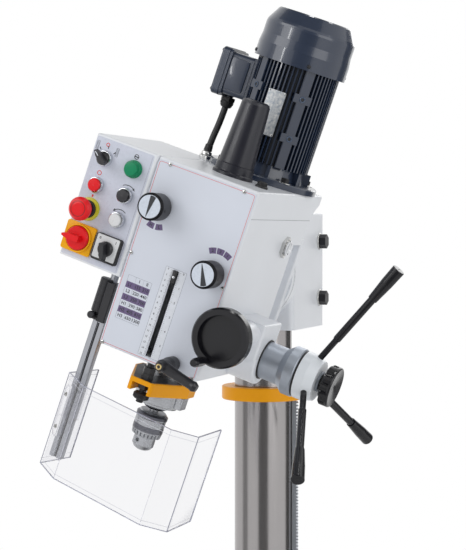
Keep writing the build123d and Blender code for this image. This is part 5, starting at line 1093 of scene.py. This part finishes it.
class PRESS_OT_motor_trim(Piece, bpy.types.Operator):
    """Rating plate, lug eyes in a painted highlight with painted shade in their holes, flange bolts, terminal
    pad and cover screws of the motor
    """

    bl_idname = "press.motor_trim"
    bl_label = "Motor trim"

    def execute(self, context):
        plate = front(RATING_X, RATING_Z, RATING_FACE)
        cut("rating_plate", "rating plate", plate, rounded(*RATING_SIZE), 0, RATING_THICK, bevel=0.2)
        top = RATING_FACE - RATING_THICK
        rivets = [((RATING_X + RIVET_ACROSS * side, top, RATING_Z + RIVET_RISE * rise), -Y)
                  for side, rise in CORNERS]
        screws("rating_plate_rivets", rivets, RIVET)
        ways = [Vector((LUG_WAY.x * side, LUG_WAY.y, 0)) for side in (-1, 1)]
        eyes = [(MOTOR + way * LUG_REACH + Z * height, way) for way in ways for height in LUG_HEIGHTS]
        # Lug eyes in the lighter paint: a painted highlight.
        repeated("lug_eyes", places_tree, "lug paint", Shape().lathe(LUG_EYE, steps=24), spots=eyes)
        # A dark disc in each lug eye's hole: painted shade.
        repeated("lug_holes", places_tree, "soft black", Shape().lathe(LUG_HOLE_SHADE, steps=20), spots=eyes)
        bolts = [(MOTOR + outwards(BOLT_RADIUS, turn) + Z * BOLT_HEIGHT, Z) for turn in range(45, 405, 90)]
        hex_bolts("motor_flange_bolts", bolts, BOLT_SIZE)
        cowl = [(MOTOR + outwards(COWL_RADIUS, turn) + Z * COWL_HEIGHT, outwards(1, turn))
                for turn in range(-61, 299, 90)]
        screws("cowl_screws", cowl, COWL_SCREW, "dark oxide")
        cut("terminal_pad", "motor paint", PAD_PLACE, rounded(*PAD_SIZE), PAD_LOW, PAD_TOP, bevel=1)
        lid = [((TERMINAL_SIDE, MOTOR.y + TERMINAL_ACROSS * side, TERMINAL_Z + TERMINAL_RISE * rise), -X)
               for side, rise in CORNERS]
        screws("terminal_screws", lid, TERMINAL_SCREW, "dark oxide")
        return {"FINISHED"}


# Lid, box and sight glass

OIL_PLUG = axis_frame((63.9, -363, 180), Z)
GLAND = axis_frame((-110, -184, 297), -Z)
CABLE_ENTRY = axis_frame((-110, -200, 180), Z)
SIGHT_GLASS = axis_frame((101.5, -226, 83.5), X)
GUARD_ROD = at(-131, -380, 0)
SEAM_LOW, SEAM_HIGH = (93.4, -448.5, 132.7), (93.6, -127, 133.3)
COVER_SIDE, COVER_DEPTHS, COVER_HEIGHTS, COVER_SCREW = -213.5, (-436, -190), (-22, 166), 7
# Turned pieces: finish, frame, profile
LID_PIECES = (
    ("oil_plug", "soft black", OIL_PLUG,
     ((0, 0), (11, 0), (11, 2.6), (10.2, 3.4), (8.4, 3.8), (8.2, 9), (7.2, 10.2), (0, 10.4))),
    ("cable_gland_cap", "soft black", GLAND,
     ((6.1, 7), (11.6, 7), (11.6, 11), (11, 15), (9, 18), (6.1, 19))),
    ("cable_fitting_cap", "plated steel", CABLE_ENTRY,
     ((6.1, 7), (10, 7), (10, 11), (9, 13.5), (7.4, 15), (6.1, 15))),
    ("cable_fitting_seal", "soft black", CABLE_ENTRY, ((6, 15), (7.8, 15), (6.9, 26), (6, 26.6))),
    ("sight_glass_rim", "bezel chrome", SIGHT_GLASS,
     ((10.6, 0), (14.2, 0), (14.2, 0.8), (13.2, 1.6), (11.6, 1.6), (10.6, 0.6))),
    ("sight_glass_lens", "sight lens", SIGHT_GLASS,
     ((0, 0.2), (10.6, 0.2), (10.6, 0.5), (7, 1.1), (0, 1.4))),
    ("guard_rod", "post aluminium", GUARD_ROD, ((7, -60.8), (7.15, -60.8), (7.15, -36.2), (7, -36.2))),
)
# Hexagon nuts: finish, frame, profile
LID_NUTS = (
    ("cable_gland_nut", "soft black", GLAND,
     ((6.2, -0.4), (13.5, -0.4), (13.5, 6), (12.6, 7), (6.2, 7))),
    ("cable_fitting_nut", "plated steel", CABLE_ENTRY,
     ((6.2, -0.5), (13, -0.5), (13, 6), (11.8, 7), (6.2, 7))),
)
# Grip ribs: frame, count, radius, half width of a rib at its tip and root, its two heights
LID_RIBS = (("oil_plug_ribs", OIL_PLUG, 24, 8.2, 0.3, 0.6, 4, 8.8),
            ("cable_gland_ribs", GLAND, 20, 11.5, 0.4, 0.7, 7.6, 12))


class PRESS_OT_lid_trim(Piece, bpy.types.Operator):
    """Oil plug, cable fittings, sight glass, seam, guard rod and cover screws of the head"""

    bl_idname = "press.lid_trim"
    bl_label = "Lid trim"

    def execute(self, context):
        for piece in LID_PIECES:
            turned(*piece)
        for nut in LID_NUTS:
            turned(*nut, steps=6, crease=HEX_CREASE)
        for name, place, count, radius, tip, root, low, high in LID_RIBS:
            rib = Shape().prism([(-tip, -root), (root, -tip), (root, tip), (-tip, root)], HERE, low, high)
            ringed(name, "soft black", rib, place, count, radius)
        Shape().block(SEAM_LOW, SEAM_HIGH).made("lid_seam", "seam shade")
        cover = [((COVER_SIDE, y, z), -X) for y in COVER_DEPTHS for z in COVER_HEIGHTS]
        screws("box_cover_screws", cover, COVER_SCREW)
        return {"FINISHED"}


# Depth stop, chuck and quill lock

STOP_TOP = [(-18, -441.5), (18, -441.5), (51.5, -352), (51.5, -323), (-51.5, -323), (-51.5, -352)]
STOP_TOP_HEIGHT, STOP_TOP_THICK = -185, 0.15
THREAD_LOW, THREAD_HEIGHT, THREAD_RADIUS, THREAD_RIDGE = -226.5, 60.0, 5.95, 0.42
THUMB_NUT, THUMB_NUT_RADIUS = at(*(STOP_ROD - Z * 215.5)), 13.4
THUMB_RIB, THUMB_RIB_HALF = [(-0.4, -0.8), (0.55, 0), (-0.4, 0.8)], 3.6
POINTER_FACE, POINTER_GAP = -456.4, 0.6
POINTER_LOW, POINTER_HIGH = (-4.2, POINTER_FACE, -12), (4.2, PLATE_FACE - POINTER_GAP, 8.4)
CHUCK = at(*(SPINDLE - Z * 253.3))
CHUCK_NOTCHES, CHUCK_NOTCH_RADIUS = 24, 24.9
NOTCH_LOW, NOTCH_HIGH = (-0.6, -1.2, -43.9), (0.3, 1.2, -38.6)
QUILL_LOCK, SOCKET_RADIUS, SOCKET_DEPTH = front(47.5, -137, -518), 2.9, 0.5
# Turned pieces: body, finish, frame, profile, steps round
STOP_PIECES = (
    ("scale_pointer_screw", "quill", "bezel chrome", front(0, -1.5, POINTER_FACE),
     ((0, 0), (2.7, 0), (2.5, 1), (1.6, 1.9), (0, 2.2)), 24),
    ("chuck_collar", "spindle", "smoked steel", CHUCK,
     ((9, 0), (22.4, 0), (27.9, -5.1), (27.9, -9.6), (28.2, -9.6), (28.2, -5), (22.6, 0.3), (9, 0.3)), 64),
    ("chuck_band", "chuck_sleeve", "smoked steel", CHUCK,
     ((27, -34.8), (27.4, -34.8), (27.4, -25), (27, -25)), 64),
    ("quill_lock_screw", "quill_lock", "brass", QUILL_LOCK,
     ((2.7, 0), (5, 0), (5, 0.8), (4.3, 1.4), (3.1, 1.4), (2.7, 1)), 48),
)


class PRESS_OT_depth_stop(Piece, bpy.types.Operator):
    """Thread, knurl, dark top and pointer of the depth stop, rings of the chuck and painted shade in its
    notches, screw of the quill lock with painted shade in its socket
    """

    bl_idname = "press.depth_stop"
    bl_label = "Depth stop"

    def execute(self, context):
        cut("stop_top", "dark oxide", at(0, 0, STOP_TOP_HEIGHT), STOP_TOP, 0, STOP_TOP_THICK, body="quill")
        repeated("stop_rod_thread", thread_tree, "dark oxide", None, "quill",
                 HEAD @ at(*(STOP_ROD + Z * THREAD_LOW)), Radius=THREAD_RADIUS, Height=THREAD_HEIGHT,
                 Turns=THREAD_HEIGHT / (self.sizes.thread_pitch / MM), Ridge=THREAD_RIDGE)
        rib = Shape().prism(THUMB_RIB, HERE, -THUMB_RIB_HALF, THUMB_RIB_HALF)
        ribs = self.sizes.knurl_ribs
        ringed("thumb_nut_ribs", "dark oxide", rib, THUMB_NUT, ribs, THUMB_NUT_RADIUS, "quill")
        block = Shape().block(POINTER_LOW, POINTER_HIGH)
        block.made("scale_pointer", "dark oxide", "quill", bevel=0.6)
        for name, body, *piece in STOP_PIECES:
            turned(name, *piece, body=body)
        # Dark films in the lower part of the chuck sleeve's notches: painted shade.
        notch = Shape().block(NOTCH_LOW, NOTCH_HIGH)
        ringed("chuck_notches", "seam shade", notch, CHUCK, CHUCK_NOTCHES, CHUCK_NOTCH_RADIUS, "chuck_sleeve")
        # A dark hexagon on the lock screw, where its socket is: painted shade.
        socket = circle(SOCKET_RADIUS, 6)
        cut("quill_lock_socket", "dark oxide", QUILL_LOCK, socket, 0, SOCKET_DEPTH, body="quill_lock")
        return {"FINISHED"}


# Guard

GUARD_PLAN = ((-141, -291), (-150, -391), (-97.5, -440), (88, -475), (128, -451), (128, -346))
GUARD_TOP, GUARD_BOTTOM = -236.0, -407.0
# Strips of painted reflection at the cut edges, within the sheet: insets from its two faces, heights
EDGE_INNER, EDGE_OUTER, EDGE_HEIGHTS = 0.1, 0.45, (GUARD_TOP - 0.4, GUARD_BOTTOM - 0.03)
BEND_INSET, BEND_RADII = 1.4, (0.9, 0.5, 0.4, 0.9)
# Lines along the edges: how far they stand out of the face and go into it, heights, half width
LINE_PROUD, LINE_DEEP, LINE_HEIGHTS, LINE_WIDE = 0.08, 0.02, (GUARD_TOP - 9, GUARD_BOTTOM + 9), 0.3
HOLDER_RIM = [(-11, -38), (-5, -46), (5, -46), (11, -38), (11, 38), (5, 46), (-5, 46), (-11, 38)]
HOLDER_ALONG, HOLDER_DROP, HOLDER_LOW, HOLDER_TOP = 26, 62, 3.6, 4.1
HOLDER_SCREW, HOLDER_SCREW_RISE, HOLDER_FACE = 8, 30, 4
# Corners of the dark strip down the post's groove: painted shade.
GROOVE_LOW, GROOVE_HIGH = (-132.3, -384.2, -387), (-129.7, -384, -134)


def beside(points, distance):
    """A line of points drawn beside an open line, to its right."""
    spots = [Vector(point) for point in points]
    moved = []
    for number, spot in enumerate(spots):
        near = spots[max(number - 1, 0):number + 2]
        ways = [(other - one).normalized() for one, other in zip(near, near[1:])]
        sides = [Vector((way.y, -way.x)) for way in ways]
        middle = sum(sides, Vector((0, 0))).normalized()
        moved.append(spot + middle * (distance / middle.dot(sides[0])))
    return moved


class PRESS_OT_guard_trim(Piece, bpy.types.Operator):
    """Cut edges and bend lines of the clear guard in painted reflection, its holder's rim and screws, and
    painted shade in the post's groove
    """

    bl_idname = "press.guard_trim"
    bl_label = "Guard trim"

    def execute(self, context):
        thick = self.sizes.sheet_thickness / MM
        inner, outer = beside(GUARD_PLAN, EDGE_INNER), beside(GUARD_PLAN, thick - EDGE_OUTER)
        edges, lines = Shape(), Shape()
        for height in EDGE_HEIGHTS:
            edges.prism(outer + inner[::-1], at(0, 0, height), 0, 1)
        # Thin rods along the bends, in the edge and line finishes: painted reflection.
        bends = beside(GUARD_PLAN, thick - BEND_INSET)[1:-1]
        for corner, thin, ink in zip(bends, BEND_RADII, (edges, lines, lines, edges)):
            rod = [(0, GUARD_BOTTOM), (thin, GUARD_BOTTOM), (thin, GUARD_TOP), (0, GUARD_TOP)]
            ink.lathe(rod, at(*corner, 0), 8)
        for end, before in ((0, 1), (-1, -2)):
            out = (inner[end] - inner[before]).normalized()
            corners = [inner[end], outer[end], outer[end] + out, inner[end] + out]
            edges.prism(corners, HERE, GUARD_BOTTOM, GUARD_TOP)
        edges.made("guard_edges", "sheet edge", "guard_shield")
        skin = beside(GUARD_PLAN, thick + LINE_PROUD) + beside(GUARD_PLAN, thick - LINE_DEEP)[::-1]
        for height in LINE_HEIGHTS:
            lines.prism(skin, at(0, 0, height), -LINE_WIDE, LINE_WIDE)
        start, end = (Vector(corner) for corner in GUARD_PLAN[1:3])
        facet = (end - start).normalized()
        off = Vector((facet.y, -facet.x, 0))
        middle = Vector((*(start + facet * HOLDER_ALONG), GUARD_TOP - HOLDER_DROP)) + off * thick
        outside = [(x * 1.01, y * 1.003) for x, y in HOLDER_RIM]
        inside = [(x * 0.9, y * 0.98) for x, y in HOLDER_RIM]
        lines.band(outside, inside, face(middle, (*facet, 0), Z), HOLDER_LOW, HOLDER_TOP)
        lines.made("guard_lines", "sheet line", "guard_shield")
        # A dark strip down the post, where its groove is: painted shade.
        groove = Shape().block(GROOVE_LOW, GROOVE_HIGH)
        groove.made("post_groove", "dark oxide", "guard_post")
        spots = [(middle + off * HOLDER_FACE + Z * HOLDER_SCREW_RISE * side, off) for side in (-1, 1)]
        screws("guard_holder_screws", spots, HOLDER_SCREW, body="guard_shield")
        return {"FINISHED"}


# Feed

FEED_AXIS = axis_frame(FEED, X)
# Profile of the dark ring in the hub's gap: painted shade.
HUB_GAP_SHADE = [(36, 213.5), (41, 213.5), (41, 216.6), (36, 216.6)]
SLEEVE_SEAL = [(33.2, 145.6), (36, 145.6), (35.6, 147.6), (33.2, 148)]
LEVER_ROOT = FEED + X * 222.8
LEVERS, LEVER_LEAN, LEVER_TURN, LEVER_REACH = 3, radians(22.8), -2.8, 249.5
LEVER_SLOT, SLOT_DEEP, SLOT_PROUD = (9, 1.4, 0.3, 2), 0.2, 0.06


class PRESS_OT_feed_trim(Piece, bpy.types.Operator):
    """Seal ring, a dark ring of painted shade in the feed hub's gap, and the slots in the levers' ends"""

    bl_idname = "press.feed_trim"
    bl_label = "Feed trim"

    def execute(self, context):
        # A dark ring in the hub's gap: painted shade.
        turned("hub_gap_ring", "soft black", FEED_AXIS, HUB_GAP_SHADE, 64, body="capstan")
        turned("sleeve_seal", "soft black", FEED_AXIS, SLEEVE_SEAL, 64)
        slots = Shape()
        for number in range(LEVERS):
            up, back = polar(cos(LEVER_LEAN), radians(LEVER_TURN + 360 / LEVERS * number))
            along = Vector((sin(LEVER_LEAN), back, up))
            tip = axis_frame(LEVER_ROOT + along * LEVER_REACH, along)
            slots.prism(rounded(*LEVER_SLOT), tip, -SLOT_DEEP, SLOT_PROUD)
        slots.made("lever_slots", "soft black", "capstan")
        return {"FINISHED"}


# Stand

TILT_AXIS, TILT_FACE = TILT_HEIGHT / MM, -101.5
TILT_RADIUS, TILT_SPAN, TILT_LINE_TOP, TILT_LINE_HALF = 97.0, 60, 3.4, 0.24
TILT_LINE_DEEP, TILT_LINE_PROUD = 0.05, 0.1
# Lines of the tilt scale: length, degrees between lines, count
TILT_LINES = (("tilt_degrees", 3.4, 1, 121), ("tilt_fives", 6, 5, 25))
CLAMP_WASHER = [(11, 0), (16.4, 0), (16.4, 2.6), (15.8, 3.2), (11, 3.2)]
CLAMPS = [((85, 88, TILT_AXIS + rise), X) for rise in (-55, 55)]
FLANGE_BOLT_RADIUS, FLANGE_TOP, FLANGE_BOLT = 101, 100, 24


class PRESS_OT_stand_trim(Piece, bpy.types.Operator):
    """Degree lines of the tilt disc, washers of its clamp bolts and the column flange's bolts"""

    bl_idname = "press.stand_trim"
    bl_label = "Stand trim"

    def execute(self, context):
        disc = STAND @ face((0, TILT_FACE, TILT_AXIS), X, Z)
        for name, long, every, count in TILT_LINES:
            line = Shape().block((-TILT_LINE_DEEP, -TILT_LINE_HALF, TILT_LINE_TOP - long),
                                 (TILT_LINE_PROUD, TILT_LINE_HALF, TILT_LINE_TOP))
            repeated(name, circle_tree, "black ink", line, "stand", disc, Count=count, Radius=TILT_RADIUS,
                     First_turn=radians(-TILT_SPAN), Turn_step=radians(every))
        washer = Shape().lathe(CLAMP_WASHER, steps=32)
        repeated("clamp_washers", places_tree, "plated steel", washer, "stand", STAND, CLAMPS)
        far = FLANGE_BOLT_RADIUS / sqrt(2)
        bolts = [((far * side, far * rise, FLANGE_TOP), Z) for side, rise in CORNERS]
        hex_bolts("flange_bolts", bolts, FLANGE_BOLT, "stand", STAND)
        return {"FINISHED"}


# Main

OPERATORS = (PRESS_OT_stage, PRESS_OT_finishes, PRESS_OT_motor_cable, PRESS_OT_plate_print,
             PRESS_OT_gear_knobs, PRESS_OT_controls, PRESS_OT_box_marks, PRESS_OT_motor_trim,
             PRESS_OT_lid_trim, PRESS_OT_depth_stop, PRESS_OT_guard_trim, PRESS_OT_feed_trim,
             PRESS_OT_stand_trim)


class PRESS_PT_steps(bpy.types.Panel):
    """The drill press's pieces, in the order they are made"""

    bl_idname = "PRESS_PT_steps"
    bl_label = "Drill press"
    bl_space_type = "VIEW_3D"
    bl_region_type = "UI"
    bl_category = "Drill press"

    def draw(self, context):
        for operator in OPERATORS:
            self.layout.operator(operator.bl_idname)
        for group in (context.scene.press_sizes, context.scene.press_colours):
            for name in group.__annotations__:
                self.layout.prop(group, name)


CLASSES = (PressSizes, PressColours, *OPERATORS, PRESS_PT_steps)


def register():
    for kind in CLASSES:
        bpy.utils.register_class(kind)
    bpy.types.Scene.press_sizes = PointerProperty(type=PressSizes)
    bpy.types.Scene.press_colours = PointerProperty(type=PressColours)


def unregister():
    del bpy.types.Scene.press_sizes
    del bpy.types.Scene.press_colours
    for kind in reversed(CLASSES):
        bpy.utils.unregister_class(kind)


def main():
    register()
    for operator in OPERATORS:
        getattr(bpy.ops.press, operator.bl_idname.partition(".")[2])()
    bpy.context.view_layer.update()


if __name__ == "__main__":
    main()
